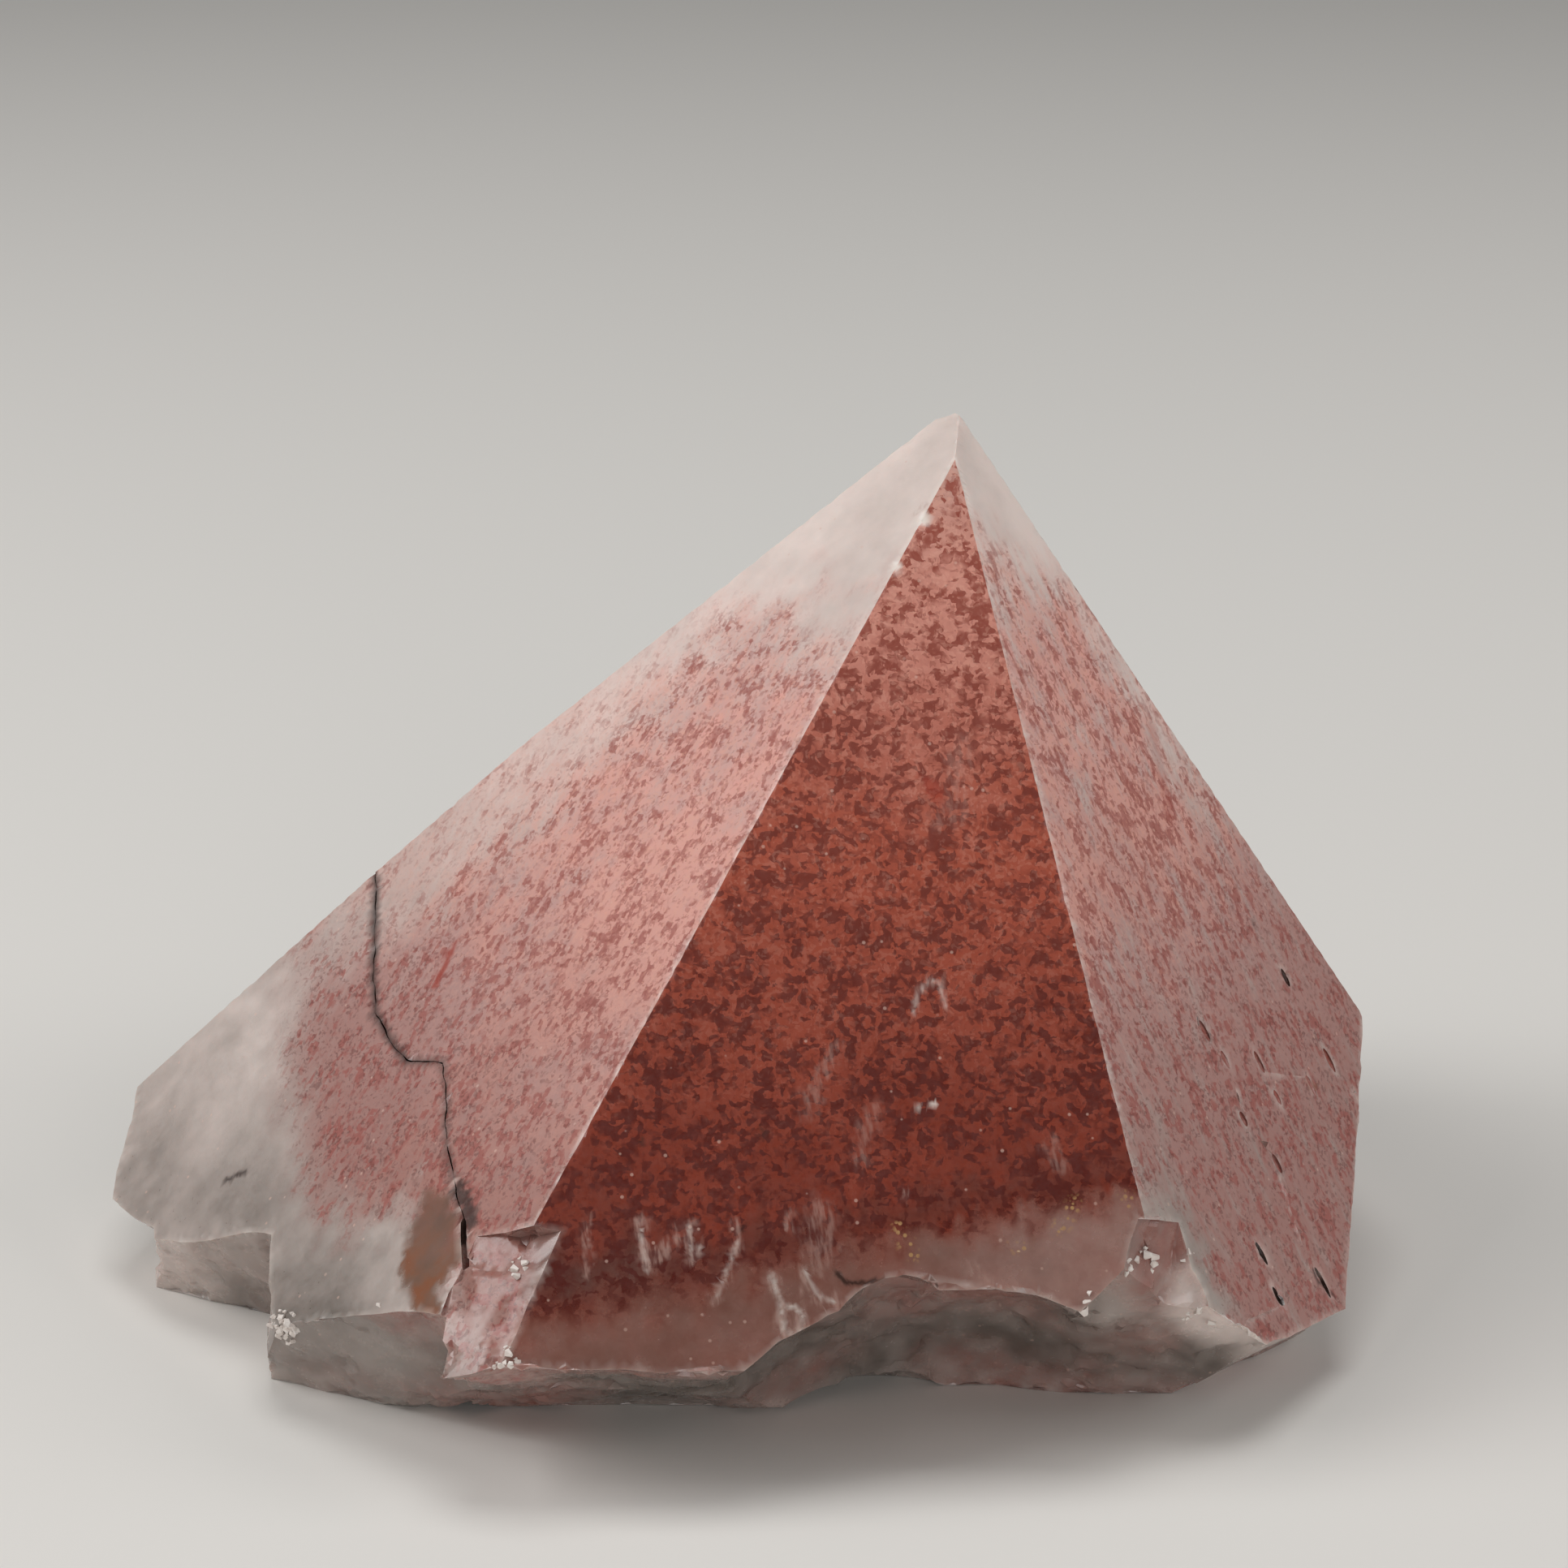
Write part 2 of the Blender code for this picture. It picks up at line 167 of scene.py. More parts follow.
# marks that lie in the faces, in each face's own millimetres: level, then down the slope
crackLine = [  # the open crack across the left face
    (-21.7, 37.4), (-19.2, 39.3), (-15.2, 42.7), (-12.7, 44.4), (-9.7, 45.4), (-7.0, 45.8),
    (-3.9, 44.8), (-2.1, 45.9), (0.8, 48.2), (3.7, 49.8), (6.7, 51.3),
]
faceMarks = {
    "wisps": {  # pale veils of tiny fluid bubbles along healed cracks: half width, strength, line
        "front": [
            (0.16, 0.55, [(-4.7, 33.0), (-4.4, 31.9), (-3.7, 31.1), (-3.1, 31.3), (-2.9, 32.6)]),
            (0.28, 0.40, [(-9.0, 34.7), (-10.0, 36.3), (-10.8, 38.3)]),
            (0.30, 0.38, [(-7.2, 38.4), (-7.7, 39.5), (-8.2, 41.1)]),
            (0.14, 0.65, [(-22.9, 43.9), (-23.1, 46.8)]),
            (0.22, 0.80, [(-20.1, 44.0), (-20.0, 45.3), (-19.9, 46.6)]),
            (0.24, 0.75, [(-18.2, 44.8), (-19.3, 46.1)]),
            (0.16, 0.75, [(-17.6, 44.3), (-17.6, 46.4)]),
            (0.16, 0.65, [(-17.0, 45.4), (-17.5, 46.0)]),
            (0.15, 0.75, [(-15.0, 44.4), (-15.0, 45.4), (-15.6, 46.9), (-16.4, 48.6)]),
            (0.14, 0.60, [(-12.1, 43.9), (-12.2, 44.7)]),
            (0.55, 0.50, [(-10.5, 43.9), (-10.6, 46.4)]),
            (0.18, 0.85, [(-11.5, 47.0), (-11.6, 48.0)]),
            (0.22, 0.90, [(-13.3, 47.2), (-12.9, 48.6), (-12.8, 50.3), (-12.1, 50.5), (-11.7, 49.6),
                          (-12.1, 49.0), (-12.7, 48.9)]),
            (0.25, 0.75, [(-11.0, 48.6), (-10.0, 48.8)]),
            (0.12, 0.95, [(-4.9, 38.1), (-4.75, 38.2)]),
            (0.14, 0.95, [(-4.1, 38.1), (-3.9, 38.15)]),
            (0.10, 0.90, [(-5.8, 42.9), (-5.75, 43.0)]),
            (0.20, 0.55, [(-2.5, 47.1), (-1.8, 47.9), (-1.0, 48.7)]),
            (0.30, 0.40, [(2.2, 40.6), (2.7, 41.9)]),
            (0.45, 0.30, [(-0.9, 17.5), (-1.4, 19.5), (-1.4, 21.4), (-2.4, 21.8)]),
        ],
        "left": [
            # a painted white glint where the ridge is chipped near the tip
            (0.18, 0.70, [(0.6, 3.2), (0.2, 3.9)]),
        ],
        "right": [
            (0.35, 0.45, [(6.9, 20.5), (6.2, 24.5)]),
        ],
    },
    "goldGlints": {  # gold-brown iron-mineral grains, painted as gold glints: painted highlight
        "front": [
            (0.18, 0.90, [(-6.3, 44.8), (-6.0, 45.6), (-5.6, 46.4)]),
            (0.15, 0.80, [(-0.2, 46.2), (0.7, 46.2)]),
            (0.15, 0.90, [(2.1, 45.5), (2.6, 44.8), (3.3, 43.9)]),
            (0.14, 0.80, [(6.1, 44.1), (6.2, 43.6)]),
        ],
        "left": [],
        "right": [],
    },
    "stains": {  # iron rust seeped along the healed cracks
        "front": [
            (0.50, 0.65, [(-6.8, 49.0), (-4.4, 49.2)]),
        ],
        "left": [],
        "right": [(0.25, 0.80, [(4.2, 41.6), (4.5, 42.0)])],
    },
    "bloodRed": {  # denser strings of flakes
        "front": [(0.45, 0.55, [(-2.9, 19.6), (-2.5, 20.3)])],
        "left": [(0.25, 0.80, [(-10.1, 38.8), (-9.6, 40.1), (-9.2, 41.4)])],
        "right": [(0.5, 0.30, [(6.4, 19.3), (5.2, 21.5), (3.8, 23.8)])],
    },
    "darkLines": {  # dark lines of cracks and pits, and a hollow: dirt, with painted shade where they are open
        "front": [
            (0.13, 0.90, [(-9.8, 47.2), (-9.3, 47.8), (-8.2, 47.8), (-7.0, 47.7), (-5.9, 47.9),
                          (-4.5, 48.1)]),
            (0.16, 0.60, [(-19.8, 39.5), (-19.7, 39.7)]),
            (0.14, 0.60, [(-13.3, 39.1), (-13.3, 39.3)]),
            (0.14, 0.60, [(-14.7, 44.5), (-14.7, 44.8)]),
        ],
        "left": [
            (0.16, 0.85, crackLine[:6]),
            (0.14, 0.55, crackLine[5:10]),
            (0.50, 0.85, [(4.6, 50.2), (6.1, 50.6), (7.6, 51.3)]),
            (0.20, 0.80, [(-15.2, 57.2), (-14.6, 56.7), (-14.1, 56.2)]),
        ],
        "right": [
            (0.12, 0.80, [(-5.3, 49.8), (-5.3, 50.7), (-4.6, 51.8)]),
            (0.14, 0.55, [(6.9, 32.0), (6.9, 32.3)]),
            (0.14, 0.55, [(7.5, 35.6), (7.5, 35.9)]),
            (0.14, 0.55, [(-9.6, 47.0), (-9.6, 47.4)]),
            (0.14, 0.55, [(-10.1, 49.3), (-10.1, 49.7)]),
        ],
    },
    "window": [  # rusty see-through patch on the left face
        (2.2, 50.5), (2.0, 51.5), (3.2, 53.5), (4.2, 54.8), (4.5, 55.7), (5.9, 56.4), (8.6, 56.9),
        (10.0, 56.4), (9.7, 55.8), (8.6, 55.2), (8.7, 53.9), (9.2, 52.9), (7.1, 51.9), (4.7, 50.8),
    ],
    "redEnds": [(-30, 44.9), (-27, 44.6), (-18.4, 44.6), (-11, 43.4), (-4.3, 42.6), (2.4, 41.8),
                (8, 41.2)],
    "paleStarts": [(-30, 49.0), (-27, 48.6), (-18.5, 47.4), (-11, 45.8), (-4.4, 44.6), (2.2, 43.6),
                   (8, 42.6)],
    "brightVeils": [  # the sharpest of the healed cracks in the front face
        (0.13, 0.70, [(-13.3, 47.2), (-12.9, 48.6), (-12.8, 50.3), (-12.1, 50.5), (-11.7, 49.6),
                      (-12.1, 49.0), (-12.7, 48.9)]),
        (0.10, 0.55, [(-20.1, 44.0), (-19.9, 46.6)]),
        (0.10, 0.50, [(-17.6, 44.3), (-17.4, 46.2), (-17.0, 45.4)]),
        (0.09, 0.45, [(-15.0, 45.4), (-16.4, 48.6)]),
        (0.12, 0.80, [(-4.9, 38.1), (-4.75, 38.2)]),
        (0.13, 0.80, [(-4.1, 38.1), (-3.9, 38.15)]),
        (0.10, 0.60, [(-11.5, 47.0), (-10.9, 48.4), (-10.0, 48.8)]),
        (0.09, 0.40, [(-4.7, 33.0), (-4.4, 31.9), (-3.7, 31.1), (-3.1, 31.3), (-2.9, 32.6)]),
    ],
    "milkBorder": [(-30, 45.0), (-24.6, 47.0), (-20.0, 49.5), (-16.0, 52.5), (-9.0, 55.0), (-2.0, 55.8),
                   (0.8, 53.5), (14, 56.5), (20, 57)],
}


# main piece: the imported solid, divided finely enough for worn edges, hackly breaks and marks
crystalDetail = {
    "frontFaceEdge": 0.74,  # mm, longest triangle side on the three faces in view
    "ridgeEdge": 0.42,  # close to the ridges between faces
    "ridgeReach": 0.30,
    "markEdge": 0.34,  # close to the marks
    "brokenEdge": 0.62,
    "brokenBackEdge": 1.5,
    "backFaceEdge": 2.0,
    "underEdge": 2.4,
    "backFrom": 8,  # mm behind the middle, where the coarser breaks begin
    "markReach": 0.15,
    "firstEdge": 30,  # mm, the longest side that the first division leaves
    "leastEdge": 0.15,
    "divisions": 14,
    "turnedUpTo": 60000,  # triangles, past which they aren't turned any more
    "merged": 0.004,  # mm
    "facets": ((2.9, 0.30), (1.4, 0.36)),  # mm across and slope of the small planes on broken quartz
    "breakLoss": 0.10,  # mm that a break loses on average
    "facetDepth": 0.34,  # mm, the most that it loses
    "rimShare": 0.3,  # share of that at its rim
    "cornerSlab": ((-13.0, -28.5, 9.0), 5.0, 0.38),  # where the corner splintered: radius, most depth
    "pitArea": (25, 47, -8, 8.5),  # mm on the right face: from and to down the slope, then level
    "pitDepth": 0.9,
    "pitFill": 0.7,
    "crackReach": (1.1, 1.6),  # mm beside it and under the face
    "crackHalfWidth": 0.3,
    "crackAbove": 2,  # mm above the table
    "crackPinch": 0.86,  # share of its width by which the crack closes up
    "crackWander": 0.16,  # mm
    "underWear": 0.10,
    "ridgeWear": (0.015, 0.085),  # least and most that a ridge is worn down
    "ridgeAngle": 12,  # degrees, past which an edge is a ridge
    "smoothBelow": 9,  # degrees
    "chips": [  # nicks on the ridges: ridge, mm down it from the meeting point, radius, depth
        ("frontLeft", 4.3, 0.55, 0.22), ("frontLeft", 7.6, 0.40, 0.15),
        ("frontLeft", 34.0, 0.50, 0.12), ("frontLeft", 35.2, 0.45, 0.10),
        ("frontLeft", 19.5, 0.35, 0.08), ("frontRight", 12.0, 0.35, 0.08),
        ("frontRight", 27.0, 0.40, 0.07), ("frontRight", 36.5, 0.55, 0.12),
    ],
}
ridges = {
    "frontLeft": ("front", "left"),
    "frontRight": ("front", "right"),
}


def ridgeDirection(name):
    first, second = (faceAxes(face)[0] for face in ridges[name])
    along = first.cross(second).normalized()
    return along if along.z < 0 else -along


def ridgeDistance(points):
    best = np.full(len(points), 1e9)
    for name in ridges:
        along = np.array(ridgeDirection(name))
        local = points - meeting
        part = np.maximum(local @ along, 0)
        best = np.minimum(best, np.linalg.norm(local - part[:, None] * along, axis=1))
    return best


def markDistance(points, face):
    u, v, _ = faceCoordinates(face, points)
    best = np.full(len(points), 1e9)
    for kind in ("wisps", "goldGlints", "stains", "bloodRed", "darkLines"):
        for width, _, line in faceMarks[kind][face]:
            best = np.minimum(best, lineDistance(u, v, line) - width)
    if face == "left":
        outline = faceMarks["window"]
        best = np.minimum(best, lineDistance(u, v, outline + outline[:1]))
    return best


def longestWanted(mids, families):
    # wanted triangle side in mm at each edge's middle
    detail = crystalDetail
    wanted = np.full(len(mids), detail["backFaceEdge"])
    broken = families == 0
    atBack = mids[broken, 1] > detail["backFrom"]
    wanted[broken] = np.where(atBack, detail["brokenBackEdge"], detail["brokenEdge"])
    wanted[families == faceIndex["under"]] = detail["underEdge"]
    for face in ("front", "left", "right", "leftLobe"):
        chosen = families == faceIndex[face]
        wanted[chosen] = detail["frontFaceEdge"]
        near = markDistance(mids[chosen], "left" if face == "leftLobe" else face) < detail["markReach"]
        wanted[np.flatnonzero(chosen)[near]] = detail["markEdge"]
    wanted[ridgeDistance(mids) < detail["ridgeReach"]] = detail["ridgeEdge"]
    return wanted


def divideFinely(bm, family):
    # splits long edges again and again, coarse ones first, and turns flat triangles to good shapes
    detail = crystalDetail
    for step in range(detail["divisions"]):
        limit = detail["firstEdge"] / 1.4 ** step
        for _ in range(2):
            edges = list(bm.edges)
            ends = np.array([(*e.verts[0].co, *e.verts[1].co) for e in edges]) / mm
            lengths = np.linalg.norm(ends[:, :3] - ends[:, 3:], axis=1)
            far = np.flatnonzero(lengths > max(limit, detail["leastEdge"]))
            mids = (ends[far, :3] + ends[far, 3:]) / 2
            families = np.array([max(f[family] for f in edges[i].link_faces) for i in far])
            wanted = np.maximum(longestWanted(mids, families), limit)
            chosen = [edges[i] for i in far[lengths[far] > wanted]]
            if not chosen:
                break
            bmesh.ops.subdivide_edges(bm, edges=chosen, cuts=1)
            bmesh.ops.triangulate(bm, faces=[f for f in bm.faces if len(f.verts) > 3])
            if len(bm.faces) < detail["turnedUpTo"]:
                flat = [f for f in bm.faces if f[family] > 0]
                inner = [e for e in bm.edges if len(e.link_faces) == 2 and e.link_faces[0][family] > 0
                         and e.link_faces[0][family] == e.link_faces[1][family]]
                bmesh.ops.beautify_fill(bm, faces=flat, edges=inner, method="ANGLE")


def breakDepth(point, atRim):
    # how far broken quartz steps back into small tilted planes, in mm
    detail = crystalDetail
    depth = detail["breakLoss"]
    for size, slope in detail["facets"]:
        cell = noise.voronoi(point / size)[1][0]
        lean = noise.noise_vector(cell * 7.1)
        depth += lean.dot(point / size - cell) * size * slope
    slabCentre, slabRadius, slabDepth = detail["cornerSlab"]
    atSlab = (point - Vector(slabCentre)).length < slabRadius
    depth = min(max(depth, 0.0), slabDepth if atSlab else detail["facetDepth"])
    return depth * detail["rimShare"] if atRim else depth


def ridgeDepth(vert, point):
    # how far a ridge between two grown faces is worn down, in mm
    normals = [f.normal for f in vert.link_faces if f.normal.length > 0.5]
    steep = max((normals[0].angle(n) for n in normals), default=0)
    if steep <= math.radians(crystalDetail["ridgeAngle"]):
        return 0.0
    least, most = crystalDetail["ridgeWear"]
    wear = 0.5 + 0.5 * noise.noise(point / 1.7) + 0.35 * noise.noise(point / 0.45)
    return least + most * max(0.0, wear) ** 1.6


def chipCentre(name, along):
    return np.array(ridgeDirection(name)) * along + meeting


def wearEdges(bm, family):
    # ridges lose a thin sliver, breaks get small ledges and grain: all of it inwards
    bm.normal_update()
    chips = [(Vector(chipCentre(name, along)), radius, depth)
             for name, along, radius, depth in crystalDetail["chips"]]
    moves = []
    for vert in bm.verts:
        kinds = {f[family] for f in vert.link_faces}
        point = vert.co / mm
        depth = 0.0
        if 0 in kinds:
            depth = breakDepth(point, len(kinds) > 1)
        elif len(kinds) > 1:
            depth = ridgeDepth(vert, point)
        elif kinds == {faceIndex["under"]}:
            depth = crystalDetail["underWear"] * max(0.0, noise.noise(point / 2.6))
        for centre, radius, chipDepth in chips:
            gap = (centre - point).length
            if gap < radius:
                depth += chipDepth * (1 - gap / radius) * (0.8 + 0.4 * noise.noise(point * 4))
        if depth > 0:
            moves.append((vert, -vert.normal * depth * mm))
    for vert, move in moves:
        vert.co += move
    print("edges worn and breaks roughened at", len(moves), "points")


def nearestOnLine(here, line):
    # closest point of a polyline, and its distance
    best, gap = here, math.inf
    for first, second in zip(line, line[1:]):
        start, step = Vector(first), Vector(second) - Vector(first)
        part = min(max((here - start).dot(step) / step.length_squared, 0), 1)
        foot = start + step * part
        if (foot - here).length < gap:
            best, gap = foot, (foot - here).length
    return best, gap


def closeCrack(bm):
    # the open crack on the left face narrows and wanders, as cracks in quartz do
    detail = crystalDetail
    points = np.array([vert.co[:] for vert in bm.verts]) / mm
    u, v, depth = faceCoordinates("left", points)
    reach, deepest = detail["crackReach"]
    near = np.flatnonzero((lineDistance(u, v, crackLine) < reach) & (np.abs(depth) < deepest))
    _, across, down = faceAxes("left")
    bm.verts.ensure_lookup_table()
    for i in near:
        here = Vector((u[i], v[i]))
        foot, gap = nearestOnLine(here, crackLine)
        if gap >= reach or bm.verts[i].co.z <= detail["crackAbove"] * mm:
            continue
        pinch = detail["crackPinch"] * (1 + 0.3 * noise.noise(Vector((foot.x, foot.y, 3)) / 0.8))
        shift = (foot - here) * (min(pinch, 0.95) if gap < detail["crackHalfWidth"] else 0.0)
        fade = 1 - gap / reach
        wander = detail["crackWander"] * fade * noise.noise_vector(Vector((foot.x, foot.y, 9)) / 0.9)
        step = across * (shift.x + wander.x) + down * (shift.y + wander.y)
        bm.verts[i].co += step * mm
    print("crack closed up at", len(near), "points")


def inPitArea(u, v, depth, leastDepth):
    top, bottom, first, last = crystalDetail["pitArea"]
    atDepth = (depth > leastDepth) & (depth < crystalDetail["pitDepth"])
    return atDepth & (v > top) & (v < bottom) & (u > first) & (u < last)


def fillPits(bm):
    # the etch pits on the right face are shallow, so their floors come up
    points = np.array([vert.co[:] for vert in bm.verts]) / mm
    u, v, depth = faceCoordinates("right", points)
    inPit = np.flatnonzero(inPitArea(u, v, depth, 0.03))
    normal = faceAxes("right")[0]
    bm.verts.ensure_lookup_table()
    for i in inPit:
        bm.verts[i].co += normal * (depth[i] * crystalDetail["pitFill"] * mm)
    print("pits filled up at", len(inPit), "points")


def keepInside(mesh):
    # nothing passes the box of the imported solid
    points = np.empty(len(mesh.vertices) * 3)
    mesh.vertices.foreach_get("co", points)
    points = np.clip(points.reshape(-1, 3), cadBox[0], cadBox[1])
    mesh.vertices.foreach_set("co", points.reshape(-1))
    mesh.update()


def crystalMesh():
    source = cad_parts["quartz_crystal"].data
    bm = bmesh.new()
    bm.from_mesh(source)
    bmesh.ops.remove_doubles(bm, verts=bm.verts, dist=1e-6)
    flat = math.radians(crystalForm["flat"])
    bmesh.ops.dissolve_limit(bm, angle_limit=flat, verts=bm.verts, edges=bm.edges)
    family = bm.faces.layers.int.new("crystalFace")
    normals = {faceIndex[name]: faceAxes(name)[0] for name in crystalForm["faces"]}
    for face in bm.faces:
        for index, normal in normals.items():
            if face.normal.angle(normal) < math.radians(crystalForm["sameFace"]):
                face[family] = index
    bmesh.ops.triangulate(bm, faces=bm.faces, ngon_method="BEAUTY")
    divideFinely(bm, family)
    bmesh.ops.dissolve_degenerate(bm, dist=crystalDetail["merged"] * mm, edges=bm.edges)
    bmesh.ops.triangulate(bm, faces=[f for f in bm.faces if len(f.verts) > 3])
    print("crystal divided into", len(bm.faces), "triangles")
    wearEdges(bm, family)
    closeCrack(bm)
    fillPits(bm)
    mesh = bpy.data.meshes.new("quartzPoint")
    bm.to_mesh(mesh)
    bm.free()
    keepInside(mesh)
    mesh.shade_smooth()
    mesh.set_sharp_from_angle(angle=math.radians(crystalDetail["smoothBelow"]))
    return mesh


crystal = bpy.data.objects.new("quartzPoint", crystalMesh())
bpy.context.scene.collection.objects.link(crystal)


# where the quartz is red, milky, clear, rusty or dirty, and where shade and glints are painted in, at each
# face corner
paintedNames = ("red", "milk", "clear", "rust", "goldGlint", "dirtAndShade", "wisp", "bloodRed", "worn", "paintedShade",
                "warm", "rightSide", "frontSide")
unevenness = {  # smooth noise that keeps the borders from being straight: size in mm, seed
    "soft": (6.0, 1),
    "rough": (1.3, 2),
    "fine": (0.4, 3),
}
markKinds = {  # what each kind of mark is painted as, and how much wider than it is
    "wisps": ("wisp", 1.5),
    "stains": ("rust", 1.0),
    "goldGlints": ("goldGlint", 2.0),
    "darkLines": ("dirtAndShade", 1.0),
    "bloodRed": ("bloodRed", 1.0),
}
# in the plans below a pair is where something starts and where it is full: in mm down the slope,
# unless the note says otherwise
frontPlan = {
    "redAtTop": 0.34,
    "redThickens": (0, 20),
    "redEnds": (-1.2, 2.6),  # mm past the line of red ends
    "redPastItsEnd": 0.50,
    "paleStarts": (-1.6, 2.4),  # mm past the line of pale starts
    "palerFoot": 0.54,
    "drips": (0.55, 0.16, 4),  # mm across, share of their length that counts, seed
    "sinks": ((0, 8, 22, 42), (0.0, 0.22, 0.5, 0.8)),  # mm down the slope, and how much painted shade darkens the face there
    "deepest": 0.85,
    "clearFoot": (0.24, 0.58),
    "milkyTip": ((0, 5), 0.45),
    "milkyFoot": (0.03, 0.02, 0.20),  # past the red, past the pale start, and more of it on the right
    "footRight": (-8, 2),  # mm along the foot
}
leftPlan = {
    "outerEdge": (-5.0, -0.42),  # mm along the level at the top, and what each mm down adds
    "innerEdge": 0.246,
    "red": 0.50,
    "redder": ((14, 52), 0.14),
    "redStarts": (4, 20),
    "inward": (0.02, 0.55),  # share of the way from the outer to the inner edge
    "redInward": (0.36, 0.62),
    "milkStarts": (-5.0, 2.2),  # mm past the line of the milk's border
    "milkHidesRed": 0.95,
    "milk": (0.95, 0.45, 0.12),  # at the tip, less of it down the slope as painted shade towards the foot, less of it inward
    "milkyEnd": (0.12, 0.16, 0.24),  # more in the milky end, how cloudy it is, less at its foot
    "endFoot": (51, 61),
    # where painted shade starts and where it is full, down the slope
    "sinks": (23, 58),
    "warmPatch": ((3.0, 32.0), (4.5, 6.0), 0.34),  # centre, reach, strength
    "warmEdge": ((0.05, 0.35), (16, 24), 0.26),  # share inward, down the slope, strength
    "coolEnd": ((36, 44), (-8, -2), 0.40),  # down the slope, mm along the level, strength
    "clearEnd": ((54, 60), 0.28),
    "windowEdge": (-0.25, 0.45),  # mm inside the window's outline
    "windowRust": ((52, 56), 0.50, 0.45),
    "windowClears": (0.5, 0.9),  # shares of the red and of the milk that the window lacks
}
rightPlan = {
    "outerEdge": (3.0, 0.26),
    "innerEdge": -0.461,
    "red": 0.55,
    "redStarts": (2, 13),
    "paleOuter": ((0.62, 1.0), (20, 32), 0.6),  # share outward, down the slope until, strength
    "paleFoot": ((34.5, 44), (1.0, 4.5), 0.90),  # down the slope, mm from the inner edge, strength
    "footWidens": (35, 0.3),  # from there down, and by what share of each mm
    "paleEdge": (0.02, 0.16),  # share of the way from the inner edge
    "milk": ((6, 44), 0.88, 0.50, 0.12, 0.10),  # at the top, less down the slope as painted shade towards the foot, more outward, at the edge
    "foot": (0.06, 0.4),  # less milk, more clear
    # where painted shade starts and where it is full, down the slope, and how dark it gets
    "sinks": ((12, 46), 0.8),
    "warm": (0.05, 0.38),
    "cools": (22, 40),
}
backPlan = {
    "redStarts": (4, 16),
    "footStarts": (40, 50),
    # painted shade over the back faces
    "shadeLevel": 0.7,
    "red": (0.42, 0.85),  # on the face, and the share of it that the foot lacks
    "milk": (0.75, 0.30, 0.35),  # at the tip, in clouds, at the foot
    "clearFoot": 0.35,
}
breakPlan = {
    "clear": 0.75,
    "milk": (0.22, 0.26, 0.18),  # everywhere, in soft clouds, in small ones
    "paintedGlowAtFoot": ((0.3, 2.4), 0.22),  # mm above the table, and how much lighter: a painted glow along the foot
    "milkSpots": [  # centre and radius in mm, strength: milky cloud under the broken surface
        ((-35, -4, 6), 10, 0.62), ((-29, -13, 5), 8, 0.45), ((-22, -21, 3), 8, 0.26),
        # the last of these three spots lightens the underside where it faces down: painted light
        ((27, -25, 9), 6, 0.80), ((31, -20, 6), 5, 0.6), ((20.5, -27, 7.5), 5, 0.46),
        ((-12.5, -27.5, 9.5), 4, 0.22),
    ],
    "red": 0.34,
    "redUnderFront": ((0.5, 5), 0.16),  # mm under the front face
    "milkHidesRed": 0.8,
    "paleLeftEnd": ((-28, -17), 0.6),  # mm from the middle, share of the red that it lacks
    "slabRed": ((9.8, 11.8), 0.5),  # mm above the table, on the splintered corner
    "slabMilk": 0.62,
    "slabClears": 0.5,
    "slabRedAndShadow": ((11.9, 12.9), 0.6),
    "crackWalls": (0.40, (-0.03, 2.2), 0.94),  # mm beside a dark line, mm under the face, how dark: dirt with painted shade
    "pitWalls": {"milk": 0.6, "red": 0.5, "clear": 0.1, "bloodRed": 0.35},
    "darkHollow": ((-15.0, -23.4, 12.6), 1.6, 0.85),
}
wearAndGlintPlan = {  # how pale the worn places, the painted highlights and the painted glints are
    "ridge": ((0.04, 0.30), 0.6),  # mm from the ridge
    "glintingChips": (2, 0.95),  # the first that many chips get a painted white glint
    "breakRim": 0.45,
}


def wobbled(values, uneven, **amounts):
    # values pushed to and fro by the named kinds of noise
    return values + sum(amount * uneven[name] for name, amount in amounts.items())


def gapTo(points, centre):
    return np.linalg.norm(points - np.array(centre), axis=1)


def cornerValues(mesh):
    vertices = np.empty(len(mesh.vertices) * 3)
    mesh.vertices.foreach_get("co", vertices)
    corner = np.empty(len(mesh.loops), int)
    mesh.loops.foreach_get("vertex_index", corner)
    family = np.empty(len(mesh.polygons), int)
    mesh.attributes["crystalFace"].data.foreach_get("value", family)
    return vertices.reshape(-1, 3) / mm, corner, np.repeat(family, 3)


def paintLines(values, lines, chosen, u, v, fine, spread=1.0, sides=(0.55, 1.25), wander=0.7):
    # adds soft-sided lines to the corners of a face
    for width, strength, line in lines:
        near = lineDistance(u, v, line) * (1 + wander * fine)
        faded = smoothBetween(near, width * spread * sides[0], width * spread * sides[1])
        values[chosen] = np.maximum(values[chosen], strength * (1 - faded))


